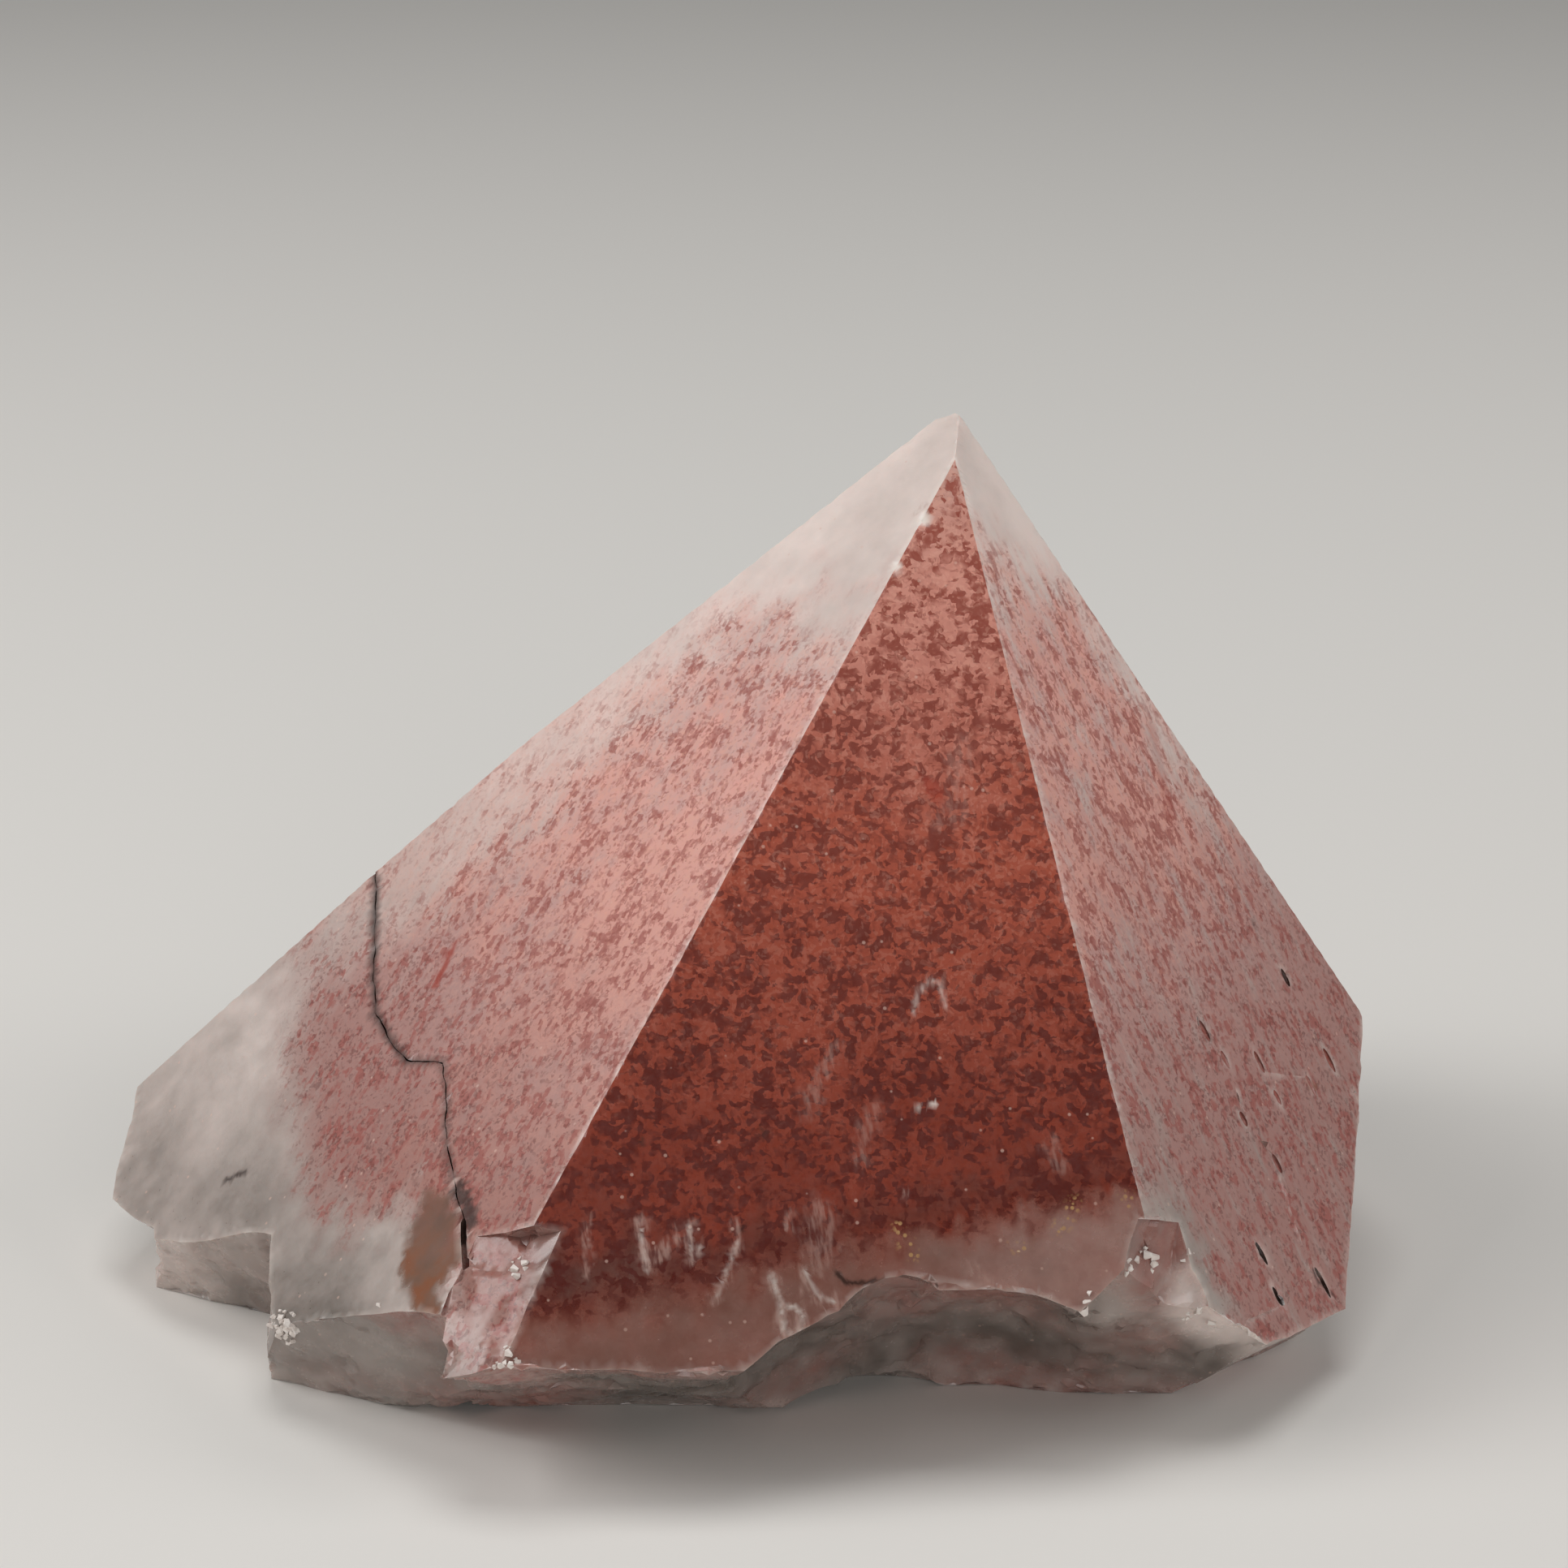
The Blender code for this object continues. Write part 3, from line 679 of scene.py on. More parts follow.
def paintFront(paint, chosen, u, v, uneven):
    plan = frontPlan
    width, drawnOut, seed = plan["drips"]
    uneven["drips"] = noiseAt(np.stack([u, v * drawnOut, u * 0], 1), width, seed)
    pastRed = wobbled(v, uneven, drips=1.3, rough=0.8) - np.interp(u, *zip(*faceMarks["redEnds"]))
    pastPale = wobbled(v, uneven, rough=1.2, drips=0.7) - np.interp(u, *zip(*faceMarks["paleStarts"]))
    below = smoothBetween(pastRed, *plan["redEnds"])
    further = smoothBetween(pastPale, *plan["paleStarts"])
    red = plan["redAtTop"] + (1 - plan["redAtTop"]) * smoothBetween(v, *plan["redThickens"])
    red = red * (1 - below) + plan["redPastItsEnd"] * below
    paint["red"][chosen] = red * (1 - plan["palerFoot"] * further)
    # painted shade: darker down the slope, and darkest past the end of the red
    level = wobbled(np.interp(v, *plan["sinks"]), uneven, soft=0.07, rough=0.05)
    paint["paintedShade"][chosen] = np.clip(level, 0, plan["deepest"]) * (1 - below) + below * (1 - 0.5 * further)
    paint["clear"][chosen] = below * (plan["clearFoot"][0] + plan["clearFoot"][1] * further)
    tip, tipMilk = plan["milkyTip"]
    pastRedMilk, pastPaleMilk, rightMilk = plan["milkyFoot"]
    milk = tipMilk * (1 - smoothBetween(v, *tip)) + pastRedMilk * below
    milk += further * (pastPaleMilk + rightMilk * smoothBetween(u, *plan["footRight"]))
    paint["milk"][chosen] = milk
    paintLines(paint["veil"], faceMarks["brightVeils"], chosen, u, v, uneven["fine"],
               sides=(0.4, 1.6), wander=0.6)


def paintLeft(paint, chosen, u, v, uneven):
    plan = leftPlan
    outerEdge, innerEdge = plan["outerEdge"][0] + plan["outerEdge"][1] * v, plan["innerEdge"] * v
    part = (u - outerEdge) / np.maximum(innerEdge - outerEdge, 1)
    start = smoothBetween(wobbled(v, uneven, soft=3.5, rough=2.5), *plan["redStarts"])
    inner = smoothBetween(wobbled(part, uneven, soft=0.18, rough=0.10), *plan["inward"])
    pastBorder = wobbled(v, uneven, rough=1.8, soft=1.2) - np.interp(u, *zip(*faceMarks["milkBorder"]))
    milky = smoothBetween(pastBorder, *plan["milkStarts"])
    redder, more = plan["redder"]
    lowered = smoothBetween(v, *redder)
    red = (plan["red"] + more * lowered) * start * (plan["redInward"][0] + plan["redInward"][1] * inner)
    red *= 1 - plan["milkHidesRed"] * milky
    tipMilk, lessLow, lessInward = plan["milk"]
    milk = wobbled(tipMilk - lessLow * start * lowered - lessInward * inner, uneven, soft=0.08)
    endMilk, cloudy, lessFoot = plan["milkyEnd"]
    endFoot = smoothBetween(wobbled(v, uneven, rough=2.0), *plan["endFoot"])
    milk = np.clip(milk, 0.1, 1)
    milk += milky * (wobbled(endMilk, uneven, soft=cloudy, rough=cloudy) - lessFoot * endFoot)
    # painted shade towards the foot
    paint["paintedShade"][chosen] = smoothBetween(wobbled(v, uneven, soft=2.0), *plan["sinks"])

    (atU, atV), (reachU, reachV), strength = plan["warmPatch"]
    warm = strength * np.exp(-((u - atU) / reachU) ** 2 - ((v - atV) / reachV) ** 2)
    across, down, strength = plan["warmEdge"]
    warm += strength * (1 - smoothBetween(part, *across)) * smoothBetween(v, *down)
    down, across, strength = plan["coolEnd"]
    warm -= strength * smoothBetween(v, *down) * (1 - smoothBetween(u, *across))
    paint["warm"][chosen] = warm

    outline = faceMarks["window"]
    inside = np.where(insideOutline(u, v, outline), 1, -1) * lineDistance(u, v, outline + outline[:1])
    window = smoothBetween(wobbled(inside, uneven, rough=0.5, fine=0.3), *plan["windowEdge"])
    down, least, more = plan["windowRust"]
    rusty = smoothBetween(wobbled(v, uneven, rough=0.8), *down)
    paint["rust"][chosen] = window * (least + more * rusty)
    lessRed, lessMilk = plan["windowClears"]
    paint["red"][chosen] = red * (1 - lessRed * window)
    paint["milk"][chosen] = milk * (1 - lessMilk * window)
    down, clear = plan["clearEnd"]
    paint["clear"][chosen] = np.maximum(clear * milky * smoothBetween(v, *down), window)


def paintRight(paint, chosen, u, v, uneven):
    plan = rightPlan
    outerEdge, innerEdge = plan["outerEdge"][0] + plan["outerEdge"][1] * v, plan["innerEdge"] * v
    part = (u - innerEdge) / np.maximum(outerEdge - innerEdge, 1)
    start = smoothBetween(wobbled(v, uneven, soft=2.5, rough=1.5), *plan["redStarts"])
    across, down, lessOuter = plan["paleOuter"]
    outer = smoothBetween(wobbled(part, uneven, rough=0.15), *across) * (1 - smoothBetween(v, *down))
    down, across, lessFoot = plan["paleFoot"]
    widensFrom, widening = plan["footWidens"]
    beside = wobbled(u - innerEdge, uneven, rough=1.2) - widening * np.maximum(v - widensFrom, 0)
    foot = smoothBetween(wobbled(v, uneven, rough=1.5), *down) * (1 - smoothBetween(beside, *across))
    paint["red"][chosen] = plan["red"] * start * (1 - lessOuter * outer) * (1 - lessFoot * foot)
    edge = 1 - smoothBetween(wobbled(part, uneven, rough=0.05), *plan["paleEdge"])
    down, topMilk, lessLow, moreOuter, moreEdge = plan["milk"]
    milk = topMilk - lessLow * smoothBetween(v, *down) + moreOuter * outer + moreEdge * edge
    lessMilk, clear = plan["foot"]
    paint["milk"][chosen] = np.clip(milk, 0.10, 1) - lessMilk * foot
    paint["clear"][chosen] = clear * foot
    # painted shade towards the foot
    down, deepest = plan["sinks"]
    paint["paintedShade"][chosen] = deepest * smoothBetween(wobbled(v, uneven, soft=2.0), *down)
    warm, cooler = plan["warm"]
    paint["warm"][chosen] = warm - cooler * smoothBetween(v, *plan["cools"])


def paintBack(paint, chosen, u, v, uneven):
    plan = backPlan
    start = smoothBetween(wobbled(v, uneven, soft=4.0, rough=2.0), *plan["redStarts"])
    foot = smoothBetween(wobbled(v, uneven, soft=2.5, rough=2.0), *plan["footStarts"])
    red, lessFoot = plan["red"]
    tipMilk, clouds, footMilk = plan["milk"]
    # painted shade, the same over the whole face
    paint["paintedShade"][chosen] = plan["shadeLevel"]
    paint["red"][chosen] = red * start * (1 - lessFoot * foot)
    paint["milk"][chosen] = tipMilk * (1 - start) + clouds * (0.5 + uneven["soft"]) + footMilk * foot
    paint["clear"][chosen] = plan["clearFoot"] * foot


grownFaces = {  # each face, the face whose coordinates it takes, and how it's painted
    "front": ("front", paintFront),
    "left": ("left", paintLeft),
    "right": ("right", paintRight),
    "leftLobe": ("left", paintLeft),
    "backLeft": ("backLeft", paintBack),
    "backLeftLobe": ("backLeft", paintBack),
    "backRight": ("backRight", paintBack),
    "back": ("back", paintBack),
}


def paintBreaks(paint, points, family, uneven):
    plan = breakPlan
    broken = np.flatnonzero((family == 0) | (family == faceIndex["under"]))
    at, height = points[broken], points[broken, 2]
    soft, rough, fine = (uneven[name][broken] for name in unevenness)

    everywhere, inClouds, inSmallClouds = plan["milk"]
    milk = everywhere + inClouds * soft + inSmallClouds * rough
    # painted glow: lighter along the foot of the breaks
    above, more = plan["paintedGlowAtFoot"]
    milk += more * (1 - smoothBetween(height, *above))
    for centre, radius, strength in plan["milkSpots"]:
        reach = gapTo(at, centre) * (1 + 0.25 * soft)
        milk = np.maximum(milk, strength * (1 - smoothBetween(reach, radius * 0.5, radius)))

    _, _, depth = faceCoordinates("front", at)
    red = plan["red"] * np.clip(0.9 + 1.6 * soft, 0.2, 2)
    under, more = plan["redUnderFront"]
    red += more * (1 - smoothBetween(depth, *under))
    red *= 1 - plan["milkHidesRed"] * np.clip(milk, 0, 1)
    fromMiddle, less = plan["paleLeftEnd"]
    red *= 1 - less * (1 - smoothBetween(at[:, 0], *fromMiddle))

    # splintered corner: redder at its top, milky under that; the dark red band along its top is partly the
    # red layer and partly painted shadow under the ledge
    slabCentre, slabRadius, _ = crystalDetail["cornerSlab"]
    atSlab = 1 - smoothBetween(gapTo(at, slabCentre), slabRadius * 0.6, slabRadius)
    above, slabRed = plan["slabRed"]
    upper = smoothBetween(height + 1.4 * rough, *above)
    red = np.maximum(red, slabRed * atSlab * upper * np.clip(0.7 + 0.9 * rough, 0, 1))
    milk = np.maximum(milk, plan["slabMilk"] * atSlab * (1 - upper) * np.clip(0.9 + 0.5 * soft, 0, 1))
    above, slabRedAndShadow = plan["slabRedAndShadow"]
    paint["red"][broken], paint["milk"][broken] = red, milk
    paint["clear"][broken] = plan["clear"] - plan["slabClears"] * atSlab
    paint["bloodRed"][broken] = slabRedAndShadow * atSlab * smoothBetween(height + 0.6 * fine, *above)

    # the walls of the open crack and the small hollow are painted dark, dirt with painted shade in the
    # recess; the pit walls get their own mix
    beside, (leastDepth, mostDepth), dirtAndShade = plan["crackWalls"]
    for face in ("left", "right"):
        u, v, depth = faceCoordinates(face, at)
        for width, _, line in faceMarks["darkLines"][face]:
            near = (lineDistance(u, v, line) < width + beside) & (depth > leastDepth) & (depth < mostDepth)
            paint["dirtAndShade"][broken[near]] = dirtAndShade
    u, v, depth = faceCoordinates("right", at)
    for name, value in plan["pitWalls"].items():
        paint[name][broken[inPitArea(u, v, depth, 0.02)]] = value
    centre, radius, dirtAndShade = plan["darkHollow"]
    paint["dirtAndShade"][broken[gapTo(at, centre) < radius]] = dirtAndShade


def paintWearAndGlints(paint, vertices, corner, family, uneven):
    # ridges are worn to a thin pale line, partly a painted highlight; the first chips get a painted white
    # glint; the rims of the breaks are pale
    points, fine = vertices[corner], uneven["fine"]
    reach, strength = wearAndGlintPlan["ridge"]
    worn = strength * (1 - smoothBetween(ridgeDistance(points), *reach))
    worn *= np.clip(wobbled(0.55, uneven, fine=0.9, rough=0.5), 0, 1)
    worn[(family == 0) | (family == faceIndex["front"])] = 0
    count, strength = wearAndGlintPlan["glintingChips"]
    for name, along, radius, _ in crystalDetail["chips"][:count]:
        reach = gapTo(points, chipCentre(name, along)) * (1 + 0.4 * fine)
        worn = np.maximum(worn, strength * (1 - smoothBetween(reach, radius * 0.45, radius * 1.05)))
    touchesBreak, touchesFace = np.zeros(len(vertices), bool), np.zeros(len(vertices), bool)
    touchesBreak[corner[family == 0]] = True
    touchesFace[corner[(family > 0) & (family != faceIndex["under"])]] = True
    rim = (touchesBreak & touchesFace)[corner] & (paint["dirtAndShade"] < 0.3)
    worn = np.maximum(worn, rim * np.clip(0.45 + 0.8 * fine, 0, 1) * wearAndGlintPlan["breakRim"])
    paint["worn"] = np.maximum(worn, paint["veil"] * np.clip(0.6 + 0.8 * fine, 0, 1))


def paintInclusions(mesh):
    vertices, corner, family = cornerValues(mesh)
    uneven = {name: noiseAt(vertices, size, seed)[corner] for name, (size, seed) in unevenness.items()}
    points = vertices[corner]
    paint = {name: np.zeros(len(points)) for name in (*paintedNames, "veil")}
    # full painted shade wherever a face doesn't set less, the breaks too
    paint["paintedShade"][:] = 1
    paint["rightSide"], paint["frontSide"] = family == faceIndex["right"], family == faceIndex["front"]
    for face, (base, painter) in grownFaces.items():
        chosen = family == faceIndex[face]
        here = {name: values[chosen] for name, values in uneven.items()}
        u, v, _ = faceCoordinates(base, points[chosen])
        painter(paint, chosen, u, v, here)
        for kind, (name, spread) in markKinds.items():
            lines = faceMarks[kind].get(base, [])
            paintLines(paint[name], lines, chosen, u, v, here["fine"], spread)
    paintBreaks(paint, points, family, uneven)
    paintWearAndGlints(paint, vertices, corner, family, uneven)
    paint["milk"] = np.clip(paint["milk"], 0, 1)
    for name in paintedNames:
        layer = mesh.attributes.new(name, "FLOAT", "CORNER")
        layer.data.foreach_set("value", paint[name].astype(np.float32))
    print("inclusions painted on", len(points), "corners")


paintInclusions(crystal.data)


# hematite quartz, called strawberry or hematoid quartz: glassy silica with red iron-oxide
# flakes grown just under its faces. Natural faces are satin, so light spreads on them; broken
# places are glassy and greyer, because the flakes stop a few millimetres in.
quartzFinish = {
    "colours": {
        "clearQuartz": "#696058",
        "milkyQuartz": "#ebdad2",
        "rosyTop": "#e8ac9c",
        "salmon": "#a8503a",
        # darker steps of the front's veil, for the painted shade towards the foot
        "deepSalmon": "#7e301d",
        "brownRed": "#5c332a",
        # the side faces' veil, paler than the front's by a painted sheen
        "sheenMauveVeil": "#cba29c",
        "sheenWarmVeil": "#e2a79b",
        # the side veil darkened by painted shade
        "shadedVeil": "#8b5c51",
        "flakeTop": "#9a4737",
        # flakes darkened by painted shade
        "shadedFlake": "#56160c",
        "mauveFlake": "#9b4f46",
        "paleSalmon": "#dfa793",
        "bloodRed": "#9c3320",
        "paleSpeck": "#dcb9aa",
        "wisp": "#c09e92",
        # pale worn quartz, also the colour of the painted highlights and glints
        "paleWearAndGlint": "#eadfd6",
        "rust": "#8a5233",
        "goldGlint": "#bd9464",
        "dirtAndShade": "#2f1c15",
    },
    "cloud": 5.0,  # mm, drifts of milk and of red
    "smallCloud": 1.4,
    "blotch": 0.42,  # mm, a cluster of flakes on the front face
    "flake": 0.19,  # mm, single flakes, drawn at twice their real size so that they show
    "flock": 1.7,  # mm, places where flakes gather
    "warp": (0.9, 0.0007),  # mm, size of the noise that bends the patterns, and its reach in metres
    "squiggle": (0.44, 0.32),  # mm, length and width of the short flake marks on the side faces
    "streak": (3.6, 0.9),  # mm, length and width of the strings they gather in
    "stringing": {"left": (0.05, 0.95), "right": (0.28, 0.72)},  # narrower makes the strings stand out
    "slant": {"left": 14, "right": -4},  # degrees that the strings lean off straight down the slope
    "speck": 0.75,  # mm from one pale dot to the next
    "tear": (1.1, 0.28),  # mm, length and width of the tears in the veils of bubbles
    "tearSlant": 6,
    "goldGlintSize": 0.30,  # mm, one painted gold glint
    "grain": 0.35,  # mm, the satin's own unevenness
    "satin": {3: 0.30, 4: 0.46},  # least and most roughness of the grown faces
    "glassy": {3: 0.12, 4: 0.28},  # and of the breaks
    "clearest": 0.30,  # transmission where the quartz holds nothing
    "ior": 1.544,
    "bumpDepth": 0.02,  # mm
    "scatter": 0.25,
    "scatterDepth": 0.0007,  # metres
    # Map Range inputs: where a pattern starts and is full, then how strong it is at each
    "milkRange": {1: 0.30, 2: 1.30},
    "coverRange": {1: 0.0, 2: 0.55},
    "presentRange": {1: 0.07, 2: 0.36},
    "blotchRange": {1: 0.64, 2: 0.86, 3: 0.0, 4: 0.88},
    "strungRange": {1: 0.93, 2: 1.12, 3: 0.0, 4: 0.70},
    "darkRange": {1: 0.58, 2: 0.78, 3: 0.0, 4: 0.45},
    "gapRange": {1: 0.40, 2: 0.26, 3: 0.0, 4: 0.40},
    "speckRange": {1: 0.80, 2: 0.84, 3: 0.0, 4: 0.45},
    "tearRange": {1: 0.38, 2: 0.64, 3: 0.08, 4: 0.70},
}
times, plus, timesPlus = ({"operation": name} for name in ("MULTIPLY", "ADD", "MULTIPLY_ADD"))
eased = {"interpolation_type": "SMOOTHSTEP"}
colourMix, plainMix = {"data_type": "RGBA"}, {"data_type": "FLOAT"}
laidOut = {"vector_type": "TEXTURE"}


def emptyMaterial(name):
    material = bpy.data.materials.new(name)
    material.use_nodes = True
    material.node_tree.nodes.clear()
    return material, material.node_tree


def laidAlong(face, slant):
    # rotation that lays x along a direction in a face: slant is degrees off straight down the slope
    normal, across, down = faceAxes(face)
    lean = math.radians(slant)
    along = (down * math.cos(lean) + across * math.sin(lean)).normalized()
    return Matrix((along, normal.cross(along), normal)).transposed().to_euler()


def drawnOut(size):
    # scale of a pattern whose marks have a length and a width in mm
    length, width = size
    return length * mm, width * mm, width * mm


def hostQuartz(tree, shared, painted, colours):
    # host quartz: grey where it's clear, white where tiny bubbles fill it
    finish = quartzFinish
    for name in ("cloud", "smallCloud"):
        detail = 4.0 if name == "cloud" else 3.0
        shared[name] = addNode(tree, "ShaderNodeTexNoise", {},
                               {"Vector": shared["coords"], "Scale": 1 / (finish[name] * mm),
                                "Detail": detail, "Roughness": 0.6}, "Fac")
    milk = addNode(tree, "ShaderNodeMath", timesPlus, {0: shared["cloud"], 1: 0.40, 2: painted["milk"]})
    milk = addNode(tree, "ShaderNodeMath", timesPlus, {0: shared["smallCloud"], 1: 0.20, 2: milk})
    shared["milkiness"] = addNode(tree, "ShaderNodeMapRange", {}, {0: milk, **finish["milkRange"]})
    return addNode(tree, "ShaderNodeMix", colourMix,
                   {0: shared["milkiness"], 6: colours["clearQuartz"], 7: colours["milkyQuartz"]}, 2)


def flakePatterns(tree, shared):
    # cells of flake clusters in angular blotches, single flakes, and where they flock together
    finish, coords = quartzFinish, shared["coords"]
    size, reach = finish["warp"]
    shared["warp"] = addNode(tree, "ShaderNodeTexNoise", {},
                             {"Vector": coords, "Scale": 1 / (size * mm), "Detail": 2.0}, "Color")
    bent = addNode(tree, "ShaderNodeVectorMath", timesPlus, {0: shared["warp"], 1: (reach,) * 3, 2: coords})
    shared["flock"] = addNode(tree, "ShaderNodeTexNoise", {},
                              {"Vector": coords, "Scale": 1 / (finish["flock"] * mm), "Detail": 3.0,
                               "Roughness": 0.6}, "Fac")
    for name, distance in (("blotch", "CHEBYCHEV"), ("flake", "MANHATTAN")):
        cells = addNode(tree, "ShaderNodeTexVoronoi", {"distance": distance},
                        {"Vector": bent, "Scale": 1 / (finish[name] * mm)}, "Color")
        shared[name] = addNode(tree, "ShaderNodeSeparateColor", {}, {0: cells})


def sidePatterns(tree, shared, painted):
    # on the side faces, short marks of flakes gathered in slanting strings
    finish, marks, strings = quartzFinish, {}, {}
    for side, slant in finish["slant"].items():
        turn = laidAlong(side, slant)
        laid = addNode(tree, "ShaderNodeMapping", laidOut,
                       {"Vector": shared["coords"], "Rotation": turn,
                        "Scale": drawnOut(finish["squiggle"])})
        laid = addNode(tree, "ShaderNodeVectorMath", timesPlus,
                       {0: shared["warp"], 1: (0.9, 0.9, 0.9), 2: laid})
        patch = addNode(tree, "ShaderNodeTexVoronoi", {"distance": "CHEBYCHEV"},
                        {"Vector": laid, "Scale": 1.0}, "Color")
        marks[side] = addNode(tree, "ShaderNodeSeparateColor", {}, {0: patch})
        laid = addNode(tree, "ShaderNodeMapping", laidOut,
                       {"Vector": shared["coords"], "Rotation": turn,
                        "Scale": drawnOut(finish["streak"])})
        string = addNode(tree, "ShaderNodeTexNoise", {},
                         {"Vector": laid, "Scale": 1.0, "Detail": 3.0, "Roughness": 0.6}, "Fac")
        least, most = finish["stringing"][side]
        strings[side] = addNode(tree, "ShaderNodeMapRange", {}, {0: string, 1: least, 2: most})
    for name, sockets in (("marks", marks), ("strings", strings)):
        shared[name] = addNode(tree, "ShaderNodeMix", plainMix,
                               {0: painted["rightSide"], 2: sockets["left"], 3: sockets["right"]})
    shared["sides"] = addNode(tree, "ShaderNodeMapRange", {}, {0: painted["frontSide"], 3: 1.0, 4: 0.0})


def redness(tree, shared, painted):
    # how red it is: the painted amount, thinned and gathered by the clouds and strings
    uneven = addNode(tree, "ShaderNodeMath", times, {0: shared["strings"], 1: shared["sides"]})
    uneven = addNode(tree, "ShaderNodeMath", timesPlus, {0: shared["cloud"], 1: 0.7, 2: uneven})
    uneven = addNode(tree, "ShaderNodeMath", plus, {0: uneven, 1: 0.15})
    evenFront = addNode(tree, "ShaderNodeMapRange", {}, {0: painted["frontSide"], 3: 0.0, 4: 0.5})
    uneven = addNode(tree, "ShaderNodeMath", plus, {0: uneven, 1: evenFront})
    shared["amount"] = addNode(tree, "ShaderNodeMath", {**times, "use_clamp": True},
                               {0: painted["red"], 1: uneven})


def redVeil(tree, shared, painted, colours, host):
    # front face: rosy at the top, through salmon to brown red towards the foot, in darker steps of painted
    # shade
    veil = colours["rosyTop"]
    for least, most, name in ((0.0, 0.5, "salmon"), (0.5, 0.8, "deepSalmon"), (0.8, 1.0, "brownRed")):
        shadeShare = addNode(tree, "ShaderNodeMapRange", {}, {0: painted["paintedShade"], 1: least, 2: most})
        veil = addNode(tree, "ShaderNodeMix", colourMix, {0: shadeShare, 6: veil, 7: colours[name]}, 2)
    # side faces: drifts between warm salmon and greyish mauve in slanting bands, paler than the front
    # because a sheen is painted into them
    drift = painted["warm"]
    for name, share in (("strings", 0.3), ("smallCloud", 0.5), ("cloud", 0.5)):
        drift = addNode(tree, "ShaderNodeMath", timesPlus, {0: shared[name], 1: share, 2: drift})
    drift = addNode(tree, "ShaderNodeMapRange", eased, {0: drift, 1: 0.45, 2: 0.85})
    side = addNode(tree, "ShaderNodeMix", colourMix,
                   {0: drift, 6: colours["sheenMauveVeil"], 7: colours["sheenWarmVeil"]}, 2)
    # side faces darker towards the foot: painted shade
    shadeLevel = addNode(tree, "ShaderNodeMath", times, {0: painted["paintedShade"], 1: 0.8})
    side = addNode(tree, "ShaderNodeMix", colourMix, {0: shadeLevel, 6: side, 7: colours["shadedVeil"]}, 2)
    veil = addNode(tree, "ShaderNodeMix", colourMix, {0: shared["sides"], 6: veil, 7: side}, 2)
    covered = addNode(tree, "ShaderNodeMapRange", eased,
                      {0: shared["amount"], **quartzFinish["coverRange"]})
    return addNode(tree, "ShaderNodeMix", colourMix, {0: covered, 6: host, 7: veil}, 2)


def flakesOver(tree, shared, painted, colours, colour):
    # blotches over the veil: fewer where there's less red, next to none in clear quartz
    finish, flock = quartzFinish, shared["flock"]
    unclouded = addNode(tree, "ShaderNodeMapRange", eased,
                        {0: painted["clear"], 1: 0.3, 2: 0.8, 3: 1.0, 4: 0.15})
    present = addNode(tree, "ShaderNodeMapRange", eased, {0: shared["amount"], **finish["presentRange"]})
    present = addNode(tree, "ShaderNodeMath", times, {0: present, 1: unclouded})
    blotches = addNode(tree, "ShaderNodeMath", times, {0: shared["blotch"], 1: 0.5})
    blotches = addNode(tree, "ShaderNodeMath", timesPlus, {0: flock, 1: 0.9, 2: blotches})
    blotches = addNode(tree, "ShaderNodeMapRange", eased, {0: blotches, **finish["blotchRange"]})
    blotches = addNode(tree, "ShaderNodeMath", times, {0: blotches, 1: painted["frontSide"]})
    blotches = addNode(tree, "ShaderNodeMath", times, {0: blotches, 1: present})
    strung = addNode(tree, "ShaderNodeMath", times, {0: shared["marks"], 1: 0.45})
    for pattern, share in ((flock, 0.9), (shared["strings"], 0.25), (shared["amount"], 0.20)):
        strung = addNode(tree, "ShaderNodeMath", timesPlus, {0: pattern, 1: share, 2: strung})
    strung = addNode(tree, "ShaderNodeMapRange", eased, {0: strung, **finish["strungRange"]})
    strung = addNode(tree, "ShaderNodeMath", times, {0: strung, 1: shared["sides"]})
    strung = addNode(tree, "ShaderNodeMath", times, {0: strung, 1: present})
    # flakes darker towards the foot: painted shade
    shadeShare = addNode(tree, "ShaderNodeMapRange", {}, {0: painted["paintedShade"], 1: 0.1, 2: 0.7})
    flake = addNode(tree, "ShaderNodeMix", colourMix,
                    {0: shadeShare, 6: colours["flakeTop"], 7: colours["shadedFlake"]}, 2)
    # single flakes, and the gaps between them, whose pale fades out under the painted shade
    single = addNode(tree, "ShaderNodeMath", times, {0: shared["flake"], 1: 0.55})
    single = addNode(tree, "ShaderNodeMath", timesPlus, {0: flock, 1: 0.45, 2: single})
    dark = addNode(tree, "ShaderNodeMapRange", eased, {0: single, **finish["darkRange"]})
    dark = addNode(tree, "ShaderNodeMath", times, {0: dark, 1: present})
    gaps = addNode(tree, "ShaderNodeMapRange", eased, {0: single, **finish["gapRange"]})
    gaps = addNode(tree, "ShaderNodeMath", times, {0: gaps, 1: present})
    unshaded = addNode(tree, "ShaderNodeMapRange", {}, {0: painted["paintedShade"], 2: 0.8, 3: 1.0, 4: 0.0})
    gaps = addNode(tree, "ShaderNodeMath", times, {0: gaps, 1: unshaded})
    # pale dots, a few tenths of a millimetre
    dots = addNode(tree, "ShaderNodeTexVoronoi", {},
                   {"Vector": shared["coords"], "Scale": 1 / (finish["speck"] * mm)}, None)
    some = addNode(tree, "ShaderNodeSeparateColor", {}, {0: dots.outputs["Color"]}, 1)
    some = addNode(tree, "ShaderNodeMapRange", eased, {0: some, **finish["speckRange"]})
    specks = addNode(tree, "ShaderNodeMapRange", eased, {0: dots.outputs["Distance"], 1: 0.17, 2: 0.09})
    specks = addNode(tree, "ShaderNodeMath", times, {0: specks, 1: some})
    for share, over in ((blotches, flake), (strung, colours["mauveFlake"]), (dark, flake),
                        (gaps, colours["paleSalmon"]), (specks, colours["paleSpeck"])):
        colour = addNode(tree, "ShaderNodeMix", colourMix, {0: share, 6: colour, 7: over}, 2)
    return colour


